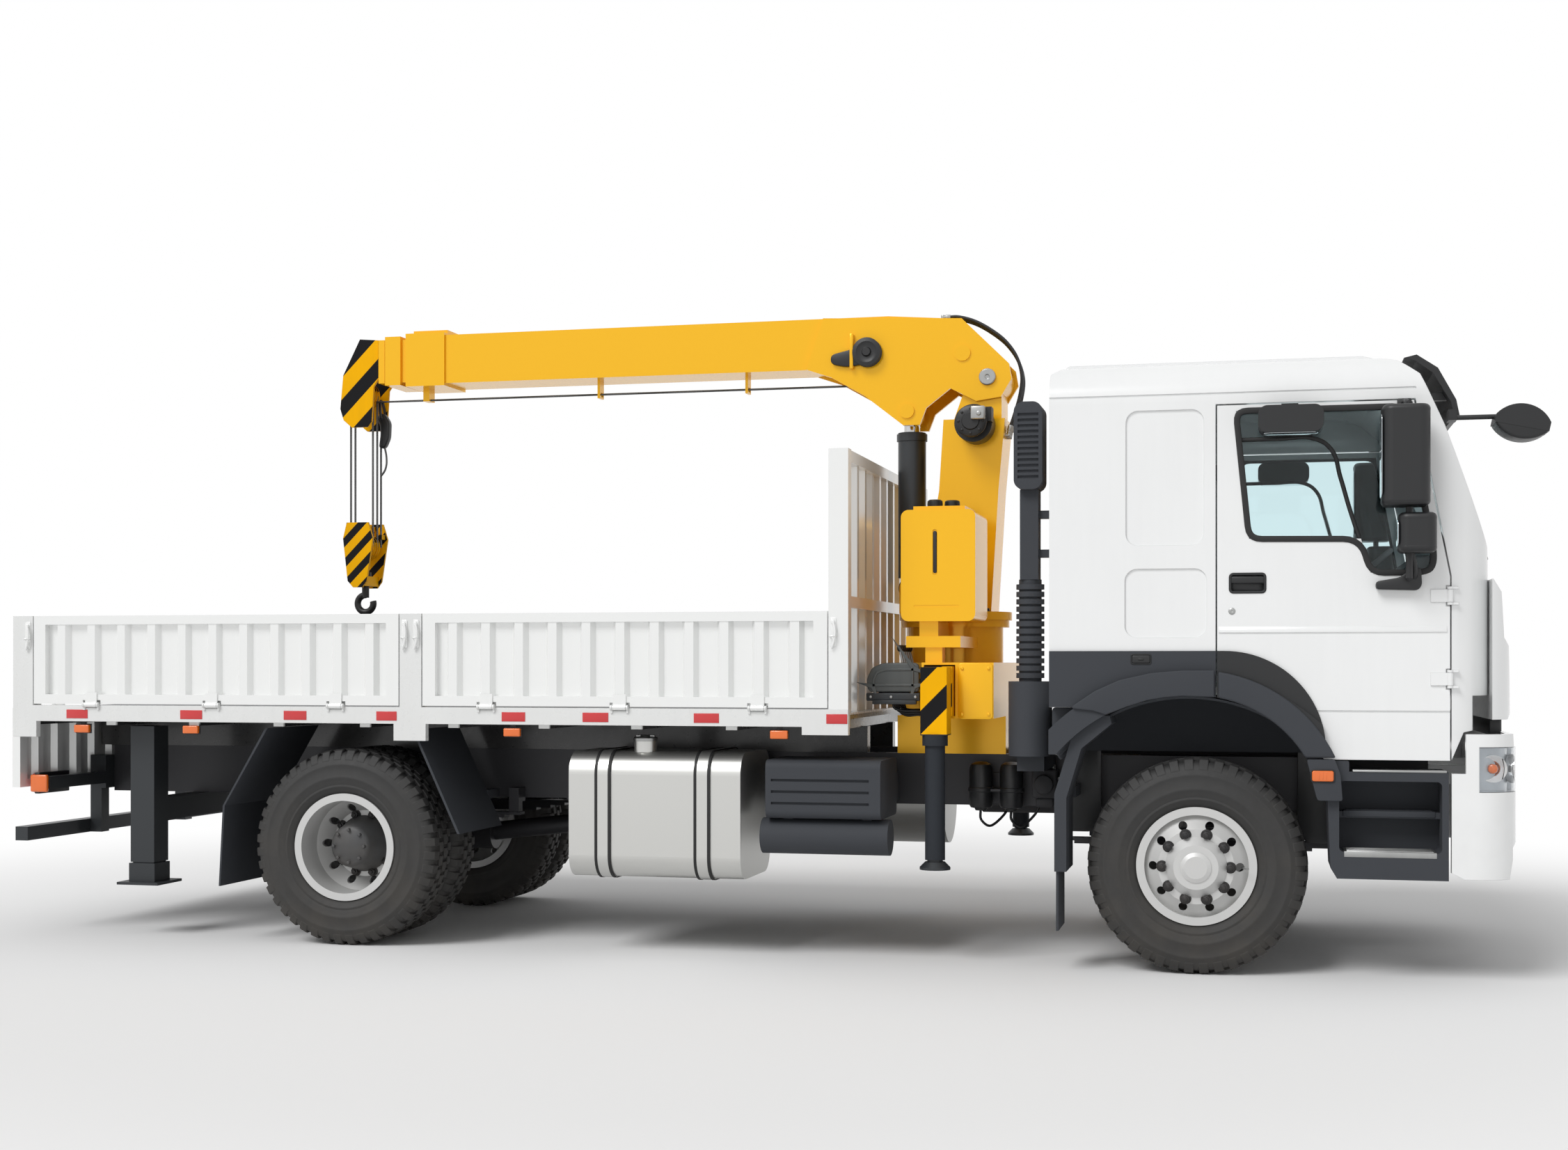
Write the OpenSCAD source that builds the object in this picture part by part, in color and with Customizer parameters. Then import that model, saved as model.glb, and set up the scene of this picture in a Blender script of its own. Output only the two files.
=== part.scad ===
// Flatbed truck with a slewing telescopic loader crane behind its cab.
// Millimetres. The truck faces +X, +Y is its left side, +Z is up and the ground is z = 0.
// Inside the modules x is counted from the rear axle; the last lines move the whole truck
// so that the origin lies on the ground under the middle of its overall length. The cab and the
// crane are drawn for one place of the front axle, and ahead() carries them along with the wheelbase.

/* [Wheels] */
// Distance between the axles
wheelbase = 4600; // [4300:10:5000]
// Outer diameter of a tyre
tyre_d = 1085; // [1050:1:1110]
// Section width of a tyre
tyre_w = 300; // [270:1:310]
// Diameter over the rim flanges
rim_d = 600; // [580:1:620]
// Distance from the middle of the truck to the middle of a front tyre
front_wheel_y = 1015; // [1000:1:1030]
// Distance from the middle of the truck to the middle of an outer rear tyre
rear_wheel_y = 1068; // [1060:1:1080]
// Distance between the middles of the two tyres of a rear pair
twin_pitch = 340; // [336:1:350]
// Diameter of a wheel spindle
spindle_d = 90; // [70:1:110]

/* [Frame] */
// Height of a frame rail
rail_h = 280; // [240:1:300]
// Width of a frame rail
rail_w = 80; // [60:1:90]
// Thickness of the rail steel
rail_t = 10; // [6:1:14]
// Height of the top of the rails above the ground
rail_top = 1060; // [1040:1:1070]
// Half of the width over both rails
rail_half = 430; // [420:1:440]

/* [Flatbed] */
// Length of the bed, tail to headboard
bed_l = 4880; // [4860:1:4900]
// Half of the width over the bed and the cab
truck_half = 1250; // [1240:1:1260]
// Height of the deck above the ground
deck_z = 1300; // [1290:1:1310]
// Height of the drop sides above the edge rail
board_h = 500; // [440:1:510]
// Thickness of the drop sides
board_t = 50; // [40:1:55]
// Height of the headboard above the ground
headboard_z = 2665; // [2500:1:2680]
// Pitch of the ribs in the boards
rib_pitch = 190; // [170:1:210]

/* [Cab] */
// Height of the roof above the ground
roof_z = 3075; // [3040:1:3090]
// Thickness of the cab walls and doors
cab_wall = 60; // [50:1:66]
// Radius of the front corners of the cab, seen from above
cab_corner = 250; // [220:1:255]
// Gap round a door
door_gap = 7; // [6:1:9]
// Thickness of the glass
glass_t = 8; // [6:1:10]
// Radius of the front wheel arch
arch_r = 840; // [820:1:850]

/* [Crane] */
// Distance of the slewing axis in front of the rear axle, on a wheelbase of 4600
slew_x = 3220; // [3215:1:3230]
// Height of the slewing ring above the ground
ring_z = 1800; // [1790:1:1810]
// Height of the boom pivot above the ground
pivot_z = 3162; // [3150:1:3175]
// Distance of the boom pivot in front of the slewing axis
pivot_ahead = 205; // [200:1:210]
// Half of the width of the base boom
boom_half = 150; // [145:1:155]
// Height of the base boom
boom_h = 290; // [280:1:295]
// Height of the underside of the base boom above the ground
boom_z = 3240; // [3235:1:3245]
// Wall of the boom sections
boom_wall = 10; // [8:1:11]
// Gap all round between one boom section and the next
boom_gap = 6; // [6:1:7]
// Diameter of the boom pivot pin
pivot_pin_d = 90; // [80:1:100]
// Radial clearance of the pins
pin_gap = 0.4; // [0.3:0.1:0.5]
// Outer diameter of the lift cylinder
lift_d = 160; // [150:1:164]
// Diameter of the lift cylinder's rod
lift_rod_d = 92; // [80:1:100]
// Diameter of the hoist rope
rope_d = 13; // [10:1:16]
// Height of the underside of the hook block above the ground
block_z = 2020; // [2015:1:2040]

/* [Outriggers] */
// Width of an outrigger beam
beam_w = 150; // [140:1:154]
// Height of an outrigger beam
beam_h = 260; // [240:1:270]
// Diameter of a front jack tube
jack_d = 104; // [100:1:110]
// Diameter of a front jack rod
jack_rod_d = 80; // [70:1:86]
// Width of a rear leg tube
leg_w = 150; // [140:1:160]

/* [Hidden] */
$fn = 48;
eps = 1;
seat_gap = 0.3;

// Front axle in the drawing of the cab and the crane, and how far both move forward from there
front_x = 4600;
stretch = wheelbase - front_x;

// Wheels
tyre_r = tyre_d / 2;
rim_r = rim_d / 2;
axle_z = tyre_r;
hub_r = 150;
bead_half = tyre_w / 2 - 36;
front_hub_y = 845;
kingpin_y = 880;
kingpin_r = 30;
spindle_gap = 0.3;
front_dish = 140;
rear_dish = twin_pitch / 2 - 26;
rear_hub_l = 190;

// Frame
rail_z0 = rail_top - rail_h;
frame_front = 5760;
mount_x = [3960, 5260];
engine_x0 = 4280;
engine_l = 1280;
gearbox_x0 = 3380;
gearbox_z = rail_z0 + 100;

// Flatbed
bed_half = truck_half;
bed_x1 = slew_x + stretch - 370;
bed_x0 = bed_x1 - bed_l;
frame_rear = bed_x0 + 130;
edge_z0 = deck_z - 73;
hinge_z = deck_z + 22;
board_z0 = hinge_z + 4;
board_z1 = board_z0 + board_h;
post_w = 128;
post_front_w = 104;
rear_post_x1 = bed_x0 + post_w;
mid_post_x0 = (rear_post_x1 + bed_x1 - post_front_w) / 2 - post_w / 2;
mid_post_x1 = mid_post_x0 + post_w;
front_post_x0 = bed_x1 - post_front_w;
board_gap = 6;
board_hinge_y = bed_half + 8;
lug_r = 14;
lug_half = 50;
sheet_t = 4;
hinge_pin_r = 7;
tail_hinge_z = deck_z + 4;
tail_half = bed_half - 94;
tail_hinges = [-800, 0, 800];
tail_hinge_x = bed_x0 - 10;
tail_h = board_h - 40;

// Tanks and boxes between the wheels, from the guards of the rear wheels to the outriggers
side_x0 = 750;
box_x1 = slew_x + stretch - 211;
box_x0 = box_x1 - 610;
tank_x1 = box_x0 - 135;
tank_x0 = side_x0 + 0.3732 * (tank_x1 - side_x0);
silencer_x1 = slew_x + stretch - 170;
silencer_x0 = silencer_x1 - 900;
air_x1 = silencer_x0 - 150;
air_x0 = side_x0 + 0.28 * (air_x1 - side_x0);

// Cab
cab_half = truck_half - 5;
cab_x0 = 3880;
arch_x = front_x - 40;
arch_z = 560;
door_x0 = 4704;
door_x1 = 5796;
door_z0 = 1088;
door_z1 = 2825;
skirt_z = 1336;
trim_z = 1617;
trim_r = 480;
trim_t = 12;
lip_w = 110;
lip_t = 38;
fender_w = 365;
roof_side_z = 2850;
roof_r = 210;
gutter_z = roof_side_z + 30;
press_depth = 9;
cab_front_x = 5992;
screen_low = [5985, 2118];
screen_high = [5772, 2701];
brow = [5660, 120];
screen_half = cab_half - cab_corner - 10;
floor_z = 1440;
floor_t = 40;
seat_x = 4860;
seat_y = 560;
seat_z = floor_z + 300;
bunk_x1 = cab_x0 + 620;
bunk_z = floor_z + 300;
panel_front_x = 6094;
bumper_x0 = 5803;
bumper_x1 = 6115;
bumper_z0 = 518;
bumper_z1 = 1216;
door_axis = [door_x1, cab_half + 4];
door_hinges = [1480, 1880];

// Crane
pivot_x = slew_x + pivot_ahead;
head_x = -440;
sheave_z = 3200;
sheave_r = 66;
sheave_half = 18;
sheave_y = [-50, 10];
rope_x = sheave_r + rope_d / 2 + seat_gap;
becket_y = 64;
block_sheave_z = block_z + 250;
lift_x = slew_x - 253;
lift_base_z = 1985;
lift_pin_z = 2985;
shank_r = 22;
cheek_t = 20;
cheek_gap = 2;
column_half = boom_half + 18;
tongue_half = boom_half - 10;
boom_tail_x = 2860;
base_end_x = -100;
section_2_end = -240;
section_3_end = -290;
section_start = 2780;
section_step = 90;
beam_x_right = slew_x + 55;
beam_x_left = beam_x_right + 190;
beam_z0 = 1280;
beam_t = 12;
housing_wall = 12;
housing_half = 940;
housing_side = 8;
housing_top = beam_z0 + beam_h + housing_side + housing_wall;
beam_end_y = 1085;
jack_foot_z = 490;
guard_x = 755;
leg_x = min(bed_x0 + 718, -guard_x - 150);
leg_y = 1000;
leg_foot_z = 292;
leg_t = 9;

// Overall length, tail gate to the tip of the front mirror
tail_x = tail_hinge_x - 10 - board_t;
mirror_tip_x = 6256 + stretch;
x_mid = (tail_x + mirror_tip_x) / 2;

// Shapes used all over

module block(x0, x1, y0, y1, z0, z1) {
    translate([x0, y0, z0]) cube([x1 - x0, y1 - y0, z1 - z0]);
}

// A side outline in x and z, as a plate from y0 to y1
module side_plate(y0, y1) {
    translate([0, y1, 0]) rotate([90, 0, 0]) linear_extrude(height = y1 - y0) children();
}

// An outline in y and z, as a plate from x0 to x1
module cross_plate(x0, x1) {
    translate([x0, 0, 0]) rotate([90, 0, 90]) linear_extrude(height = x1 - x0) children();
}

module rod_x(y, z, r, x0, x1) {
    translate([x0, y, z]) rotate([0, 90, 0]) cylinder(r = r, h = x1 - x0);
}

module rod_y(x, z, r, y0, y1) {
    translate([x, y1, z]) rotate([90, 0, 0]) cylinder(r = r, h = y1 - y0);
}

module rod_z(x, y, r, z0, z1) {
    translate([x, y, z0]) cylinder(r = r, h = z1 - z0);
}

// Carries what belongs to the cab and the crane along with the front axle
module ahead() {
    translate([stretch, 0, 0]) children();
}

module both_sides() {
    children();
    mirror([0, 1, 0]) children();
}

module left_side() {
    mirror([0, 1, 0]) children();
}

// Flat rectangle from two corners with round corners
module round_rect(x0, x1, z0, z1, r) {
    translate([x0 + r, z0]) square([x1 - x0 - 2 * r, z1 - z0]);
    translate([x0, z0 + r]) square([x1 - x0, z1 - z0 - 2 * r]);
    for (x = [x0 + r, x1 - r], z = [z0 + r, z1 - r]) translate([x, z]) circle(r = r);
}

// Hollow box beam along x, open at both ends
module box_beam(x0, x1, half, z0, z1, wall) {
    difference() {
        block(x0, x1, -half, half, z0, z1);
        block(x0 - eps, x1 + eps, -half + wall, half - wall, z0 + wall, z1 - wall);
    }
}

// Chassis

module frame_rails() color("#2b2d30") {
    both_sides() difference() {
        block(frame_rear, frame_front + stretch, -rail_half, -rail_half + rail_w, rail_z0, rail_top);
        block(frame_rear - eps, frame_front + stretch + eps, -rail_half + rail_t, -rail_half + rail_w + eps,
            rail_z0 + rail_t, rail_top - rail_t);
    }
    for (x = [frame_rear, -600, 620, 1900 + stretch, 3100 + stretch, frame_front + stretch - 120])
        block(x, x + 120, -rail_half + rail_t, rail_half - rail_t, rail_top - 130, rail_top - 30);
    // Cab mounts
    ahead() for (x = mount_x) both_sides()
        block(x, x + 90, -rail_half, -rail_half + rail_w, rail_top - eps, floor_z - floor_t - seat_gap);
}

module leaf_springs(x, half_length, y, z_low, leaves) {
    leaf_t = 16;
    for (i = [0 : leaves - 1])
        block(x - half_length * (1 - 0.12 * i), x + half_length * (1 - 0.12 * i), y - 40, y + 40,
            z_low - i * leaf_t, z_low - (i - 1) * leaf_t);
    for (side = [-1, 1])
        block(x + side * (half_length - 40) - 30, x + side * (half_length - 40) + 30, y - 30, y + 30,
            z_low + leaf_t, rail_z0);
}

module front_axle() ahead() color("#26282b") {
    spring_y = rail_half - rail_w / 2;
    block(front_x - 55, front_x + 55, -kingpin_y + 130, kingpin_y - 130, axle_z - 110, axle_z - 10);
    both_sides() {
        // Beam end with the boss that carries the kingpin
        block(front_x - 55, front_x + 55, -kingpin_y + 60, -kingpin_y + 130, axle_z - 110, axle_z + 60);
        rod_z(front_x, -kingpin_y, 58, axle_z - 60, axle_z + 60);
        rod_z(front_x, -kingpin_y, kingpin_r, axle_z - 106, axle_z + 106);
        block(front_x - 45, front_x + 45, -kingpin_y, -kingpin_y + 70, axle_z - 55, axle_z + 55);
        leaf_springs(front_x, 760, -spring_y, axle_z + 54, 4);
        block(front_x - 60, front_x + 60, -spring_y - 45, -spring_y + 45, axle_z - 12, axle_z + 8);
    }
}

module rear_axle() color("#26282b") {
    spring_y = rail_half + 75;
    inner_face = rear_wheel_y - twin_pitch - tyre_w / 2;
    rod_y(0, axle_z, 95, -inner_face - 60, inner_face + 60);
    rod_y(0, axle_z, spindle_d / 2, -rear_wheel_y, rear_wheel_y);
    translate([0, 0, axle_z]) sphere(r = 240);
    rod_x(0, axle_z, 105, 200, 420);
    both_sides() {
        leaf_springs(0, 780, -spring_y, axle_z + 143, 4);
        block(-90, 90, -spring_y - 45, -spring_y + 45, axle_z + 60, axle_z + 96);
        for (x = [-740, 740])
            block(x - 30, x + 30, -spring_y - 30, -rail_half, rail_z0 - 20, rail_z0 + 60);
    }
    // Propeller shaft from the gearbox
    shaft_x0 = 400;
    shaft_l = gearbox_x0 + stretch - 20 - shaft_x0;
    translate([shaft_x0, 0, axle_z]) rotate([0, 90 - atan((gearbox_z - axle_z) / (shaft_l + 40)), 0])
        cylinder(r = 55, h = shaft_l);
    ahead() rod_x(0, gearbox_z, 70, gearbox_x0 - 80, gearbox_x0 - seat_gap);
}

module engine() ahead() color("#3a3c3f") {
    // Engine and gearbox as one plain mass between the rails
    block(engine_x0, engine_x0 + engine_l, -330, 330, rail_z0 - 20, rail_top + 300);
    rod_x(0, gearbox_z, 170, gearbox_x0, engine_x0 + 20);
}

module fuel_tank() color("#b9bbbd") {
    x0 = tank_x0;
    x1 = tank_x1;
    straps = [x0 + 0.158 * (x1 - x0), x0 + 0.7366 * (x1 - x0)];
    y0 = -bed_half + 45;
    y1 = -560;
    z0 = 413;
    z1 = 1084;
    corner = 120;
    strap_w = 84;
    cross_plate(x0, x1) round_rect(y0, y1, z0, z1, corner);
    for (x = straps) cross_plate(x, x + strap_w) difference() {
        round_rect(y0 - 7, y1 + 7, z0 - 7, z1 + 7, corner + 7);
        round_rect(y0 + eps, y1 - eps, z0 + eps, z1 - eps, corner - eps);
    }
    rod_z(x0 + 0.4057 * (x1 - x0), y0 + 145, 62, z1 - 4, z1 + 56);
    // Brackets that carry the tank on the frame rail
    for (x = straps) block(x, x + strap_w, y1 + 6, -rail_half, rail_z0 - 80, rail_top - 100);
}

module battery_box() color("#2f3337") {
    x0 = box_x0;
    x1 = box_x1;
    y0 = -bed_half + 45;
    y1 = y0 + 475;
    // Ribbed cover
    difference() {
        cross_plate(x0, x1) round_rect(y0, y1, 747, 1052, 40);
        for (z = [820, 880, 940]) block(x0 + 30, x1 - 60, y0 - eps, y0 + 12, z, z + 14);
    }
    block(x0 + 40, x1 - 40, y1 - 20, -rail_half, 800, 960);
    // Air tank hung under it
    rod_x(y0 + 110, 650, 94, x0 - 36, x1 + 34);
    for (x = [x0 + 81, x1 - 109]) block(x, x + 50, y0 + 80, y0 + 140, 730, 750);
}

module silencer() color("#8d9093") {
    muffler_y = 905;
    air_y = 820;
    rod_x(muffler_y, 720, 270, silencer_x0, silencer_x1);
    for (x = [silencer_x0 + 100, silencer_x1 - 150]) block(x, x + 60, rail_half, muffler_y, 940, 1010);
    // Air tanks on the left rail
    for (z = [640, 900]) rod_x(air_y, z, 120, air_x0, air_x1);
    for (x = [air_x0 + 150, air_x1 - 200]) {
        block(x, x + 60, rail_half, air_y, 990, 1040);
        block(x, x + 60, air_y - 30, air_y + 30, 755, 785);
    }
}

// Flatbed

module flatbed() color("#f2f3f2") {
    bearer_z = rail_top;
    knuckle_r = lug_r + 6;
    strap_half = 38;
    side_hinges = concat(hinge_places(rear_post_x1, mid_post_x0), hinge_places(mid_post_x1, front_post_x0));
    difference() {
        block(bed_x0, bed_x1, -bed_half + 60, bed_half - 60, edge_z0 + 40, deck_z);
        for (y = tail_hinges) rod_y(tail_hinge_x, tail_hinge_z, knuckle_r, y - strap_half, y + strap_half);
    }
    // Floor sheet between the posts
    block(rear_post_x1 + 5, front_post_x0 - 5, -bed_half + 90, bed_half - 90, deck_z - eps, deck_z + sheet_t);
    both_sides() {
        // Edge rail with its deeper ends and middle
        difference() {
            block(bed_x0, bed_x1, -bed_half, -bed_half + 60 + eps, edge_z0, deck_z + 18);
            for (x = side_hinges) rod_x(-board_hinge_y, hinge_z, knuckle_r, x - strap_half, x + strap_half);
        }
        block(bed_x0, bed_x0 + 150, -bed_half, -bed_half + 40, edge_z0 - 90, edge_z0 + eps);
        block(mid_post_x0 - 35, mid_post_x1 + 25, -bed_half, -bed_half + 40, edge_z0 - 92, edge_z0 + eps);
        block(bed_x1 - 245, bed_x1, -bed_half, -bed_half + 40, edge_z0 - 42, edge_z0 + eps);
        // Corner and middle posts
        block(bed_x0, rear_post_x1, -bed_half, -bed_half + 80, deck_z, board_z1);
        block(mid_post_x0, mid_post_x1, -bed_half, -bed_half + 80, deck_z, board_z1);
        for (x = side_hinges) hinge_lugs(x);
        // Long bearers on the frame rails
        block(bed_x0 + 40, bed_x1 - 60, -rail_half, -rail_half + rail_w, bearer_z, edge_z0 - 20);
    }
    // Lugs and pins of the tail gate
    for (y = tail_hinges) {
        for (side = [-1, 1]) side_plate(y + side * 44 - 6, y + side * 44 + 6) {
            translate([tail_hinge_x, tail_hinge_z]) circle(r = lug_r);
            translate([tail_hinge_x, tail_hinge_z - 40]) square([20, 40]);
        }
        rod_y(tail_hinge_x, tail_hinge_z, hinge_pin_r, y - lug_half, y + lug_half);
    }
    for (i = [0 : 9]) {
        x = bed_x0 + 60 + i * (bed_l - 200) / 9;
        block(x, x + 60, -bed_half + 30, bed_half - 30, edge_z0 - 20 - eps, edge_z0 + 40 + eps);
    }
}

// Ribbed sheet from x = 0 to x = length and z = 0 to z = height, its outer face on y = 0
module ribbed_board(length, height, thick, border_end, border_top, border_low) {
    skin_t = 12;
    rib_d = 34;
    rib_w = 92;
    inner_l = length - 2 * border_end;
    ribs = floor(inner_l / rib_pitch);
    first = (length - (ribs - 1) * rib_pitch) / 2;
    difference() {
        block(0, length, 0, thick, 0, height);
        block(border_end, length - border_end, -eps, thick - skin_t, border_low, height - border_top);
    }
    for (i = [0 : ribs - 1])
        translate([first + i * rib_pitch, thick - skin_t + eps, border_low])
            linear_extrude(height = height - border_low - border_top)
                polygon([[-rib_w / 2, 0], [-rib_w / 2 + 22, -rib_d], [rib_w / 2 - 22, -rib_d],
                    [rib_w / 2, 0]]);
}

// Hinges of the drop sides: lugs with a pin on the bed, straps with a bore on the boards

function hinge_places(x0, x1) = [for (i = [0 : 2]) x0 + (x1 - x0) * (i + 0.5) / 3];

module hinge_lugs(x) {
    for (side = [-1, 1]) cross_plate(x + side * 44 - 6, x + side * 44 + 6) {
        translate([-board_hinge_y, hinge_z]) circle(r = lug_r);
        translate([-board_hinge_y, hinge_z - 30]) square([20, 30]);
    }
    rod_x(-board_hinge_y, hinge_z, hinge_pin_r, x - lug_half, x + lug_half);
}

module hinge_strap(x) {
    difference() {
        cross_plate(x - 36, x + 36) {
            translate([-board_hinge_y, hinge_z]) circle(r = lug_r);
            translate([-board_hinge_y, hinge_z]) square([board_hinge_y - bed_half + eps, 70]);
        }
        rod_x(-board_hinge_y, hinge_z, hinge_pin_r + pin_gap, x - 40, x + 40);
    }
}

module side_board(x0, x1) color("#f2f3f2") {
    difference() {
        translate([x0 + board_gap, -bed_half, board_z0])
            ribbed_board(x1 - x0 - 2 * board_gap, board_h, board_t, 74, 50, 54);
        for (x = hinge_places(x0, x1))
            block(x - lug_half - 6, x + lug_half + 6, -bed_half - 20, -bed_half + 20, board_z0 - eps,
                board_z0 + 22);
    }
    for (x = hinge_places(x0, x1)) hinge_strap(x);
}

module side_rear_right() side_board(rear_post_x1, mid_post_x0);
module side_front_right() side_board(mid_post_x1, front_post_x0);
module side_rear_left() left_side() side_rear_right();
module side_front_left() left_side() side_front_right();

module tail_gate() color("#f2f3f2") {
    // Hangs open behind the bed with its ribbed outer face to the front
    difference() {
        translate([tail_hinge_x - 10, tail_half, deck_z]) rotate([180, 0, -90])
            mirror([1, 0, 0]) translate([-2 * tail_half, 0, 0])
                ribbed_board(2 * tail_half, tail_h, board_t, 70, 46, 50);
        for (y = tail_hinges)
            block(tail_hinge_x - 30, tail_hinge_x, y - lug_half - 6, y + lug_half + 6, deck_z - 22,
                deck_z + eps);
    }
    for (y = tail_hinges) difference() {
        side_plate(y - 36, y + 36) {
            translate([tail_hinge_x, tail_hinge_z]) circle(r = lug_r);
            translate([tail_hinge_x - 10 - eps, tail_hinge_z - 74]) square([10 + eps, 74]);
        }
        rod_y(tail_hinge_x, tail_hinge_z, hinge_pin_r + pin_gap, y - 40, y + 40);
    }
}

module headboard() color("#f2f3f2") {
    x0 = front_post_x0;
    x1 = bed_x1;
    sheet_x = x0 + 30;
    both_sides() block(x0, x1, -bed_half, -bed_half + 80, deck_z + 18, headboard_z);
    for (z = [headboard_z - 60, 1846])
        block(x0 + 14, x1 - 10, -bed_half + 79, bed_half - 79, z, z + 60);
    block(sheet_x, sheet_x + 12, -bed_half + 79, bed_half - 79, deck_z, headboard_z - 20);
    for (i = [0 : 10]) {
        y = -bed_half + 190 + i * (2 * bed_half - 380) / 10;
        translate([sheet_x + 12 - eps, y, deck_z]) linear_extrude(height = headboard_z - 40 - deck_z)
            polygon([[0, -46], [34, -24], [34, 24], [0, 46]]);
    }
}

// Cab

// Side outline of the cab, its wall moved in by inset
module cab_side(inset) {
    polygon([
        [cab_x0 + inset, skirt_z - eps], [5170, skirt_z - eps], [5170, door_z0], [door_x1 + 6, door_z0],
        [5860, bumper_z1 + 8],
        [cab_front_x - inset, bumper_z1 + 34], [cab_front_x - inset, 1968],
        [screen_low[0] - inset, screen_low[1]],
        [screen_high[0] - inset, screen_high[1]], [brow[0] - inset, roof_z - brow[1] - inset],
        [5560 - inset, roof_z - 40 - inset], [5400, roof_z - inset], [3960, roof_z - inset],
        [cab_x0 + inset, roof_z - 60 - inset]
    ]);
}

// Cross outline of the cab with the round edges of its roof
module cab_cross(inset) {
    half = cab_half - inset;
    r = roof_r;
    translate([-half, 1000]) square([2 * half, roof_side_z - 1000]);
    translate([-half + r, 1000]) square([2 * (half - r), roof_z - inset - 1000]);
    for (y = [-half + r, half - r]) translate([y, roof_side_z]) circle(r = r);
}

// Plan of the cab with its round front corners
module cab_plan(inset) {
    r = cab_corner - inset;
    translate([cab_x0 - 100, -cab_half + inset])
        square([cab_front_x - cab_corner - cab_x0 + 100, 2 * (cab_half - inset)]);
    translate([cab_x0, -cab_half + cab_corner])
        square([cab_front_x - inset - cab_x0, 2 * (cab_half - cab_corner)]);
    for (y = [-1, 1])
        translate([cab_front_x - cab_corner, y * (cab_half - cab_corner)]) circle(r = r);
}

module cab_solid(inset) {
    intersection() {
        side_plate(-cab_half - 10, cab_half + 10) cab_side(inset);
        cross_plate(cab_x0 - 50, 6200) cab_cross(inset);
        translate([0, 0, 1000]) linear_extrude(height = 2200) cab_plan(inset);
    }
}

// Door outline, grown outwards by gap
module door_outline(gap) {
    difference() {
        polygon([
            [door_x0 - gap, door_z0 - gap], [door_x1 + gap, door_z0 - gap],
            [door_x1 + gap, 1970 + gap], [5630 + gap, door_z1 + gap], [door_x0 - gap, door_z1 + gap]
        ]);
        translate([arch_x, arch_z]) circle(r = arch_r - gap);
        translate([door_x0 - 500, door_z0 - 500]) square([5170 - door_x0 + 500 - gap, 500]);
    }
}

module window_outline(grow) {
    polygon([
        [4795 - grow, 2795 + grow], [4858 - grow, 2167 - grow], [5385 - grow, 2160 - grow],
        [5430 - grow, 1995 - grow], [5700 + grow, 1995 - grow], [5726 + grow, 2060],
        [5590 + grow, 2795 + grow]
    ]);
}

module cab_shell() ahead() color("#f4f5f5") {
    // Door hinge lugs with their pins
    both_sides() for (z = door_hinges) {
        for (side = [-1, 1]) {
            rod_z(door_axis[0], -door_axis[1], lug_r, z + side * 38 - 6, z + side * 38 + 6);
            block(door_axis[0], door_axis[0] + 40, -door_axis[1] - 6, -cab_half + 20, z + side * 38 - 6,
                z + side * 38 + 6);
        }
        rod_z(door_axis[0], -door_axis[1], hinge_pin_r, z - 44, z + 44);
    }
    difference() {
        cab_solid(0);
        difference() {
            cab_solid(cab_wall);
            // Floor
            block(cab_x0, cab_front_x, -cab_half, cab_half, 1000, floor_z);
        }
        // Everything under the floor is open
        block(cab_x0 + cab_wall, 6200, -cab_half + cab_wall, cab_half - cab_wall, 900, floor_z - floor_t);
        side_plate(-1600, 1600) translate([arch_x, arch_z]) circle(r = arch_r);
        both_sides() side_plate(-cab_half - 20, -cab_half + cab_wall + eps) door_outline(door_gap);
        both_sides() for (z = door_hinges)
            rod_z(door_axis[0], -door_axis[1], lug_r + 6, z - 31, z + 31);
        // Pressed panels behind the door
        both_sides() {
            side_plate(-cab_half - eps, -cab_half + press_depth) round_rect(4260, 4640, 2140, 2810, 60);
            side_plate(-cab_half - eps, -cab_half + press_depth) round_rect(4255, 4654, 1683, 2024, 60);
        }
        // Gutter under the roof
        both_sides() block(cab_x0 - eps, brow[0] - 20, -cab_half - eps, -cab_half + 9, gutter_z,
            gutter_z + 9);
        // Windscreen opening
        screen_opening();
    }
}

module screen_opening() {
    side_plate(-screen_half, screen_half) polygon([
        [screen_low[0] + 90, screen_low[1] + 30], [screen_low[0] - 160, screen_low[1] + 30],
        [screen_high[0] - 150, screen_high[1] - 20], [screen_high[0] + 90, screen_high[1] - 20]
    ]);
}

module windscreen() ahead() color("#3b474b") {
    slope = (screen_high[0] - screen_low[0]) / (screen_high[1] - screen_low[1]);
    z0 = screen_low[1] + 30 + seat_gap;
    z1 = screen_high[1] - 20 - seat_gap;
    x0 = screen_low[0] + (z0 - screen_low[1]) * slope - 14;
    x1 = screen_low[0] + (z1 - screen_low[1]) * slope - 14;
    side_plate(-screen_half + seat_gap, screen_half - seat_gap)
        polygon([[x0, z0], [x0 - glass_t, z0], [x1 - glass_t, z1], [x1, z1]]);
}

module cab_front() ahead() color("#f4f5f5") {
    // Lower front panel with its grille slots, hung on the shell
    x0 = cab_front_x + seat_gap;
    difference() {
        intersection() {
            side_plate(-cab_half, cab_half) polygon([
                [x0, 1285], [panel_front_x - 20, 1285], [panel_front_x, 1320], [panel_front_x - 12, 1640],
                [panel_front_x - 40, 1680], [panel_front_x - 54, 1900], [x0 + 6, 1962], [x0, 1962]
            ]);
            translate([0, 0, 1200]) linear_extrude(height = 900)
                round_rect(5400, panel_front_x, -cab_half, cab_half, cab_corner);
        }
        for (i = [0 : 3])
            block(panel_front_x - 48, panel_front_x + 50, -720, 720, 1345 + i * 76, 1393 + i * 76);
    }
}

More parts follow.
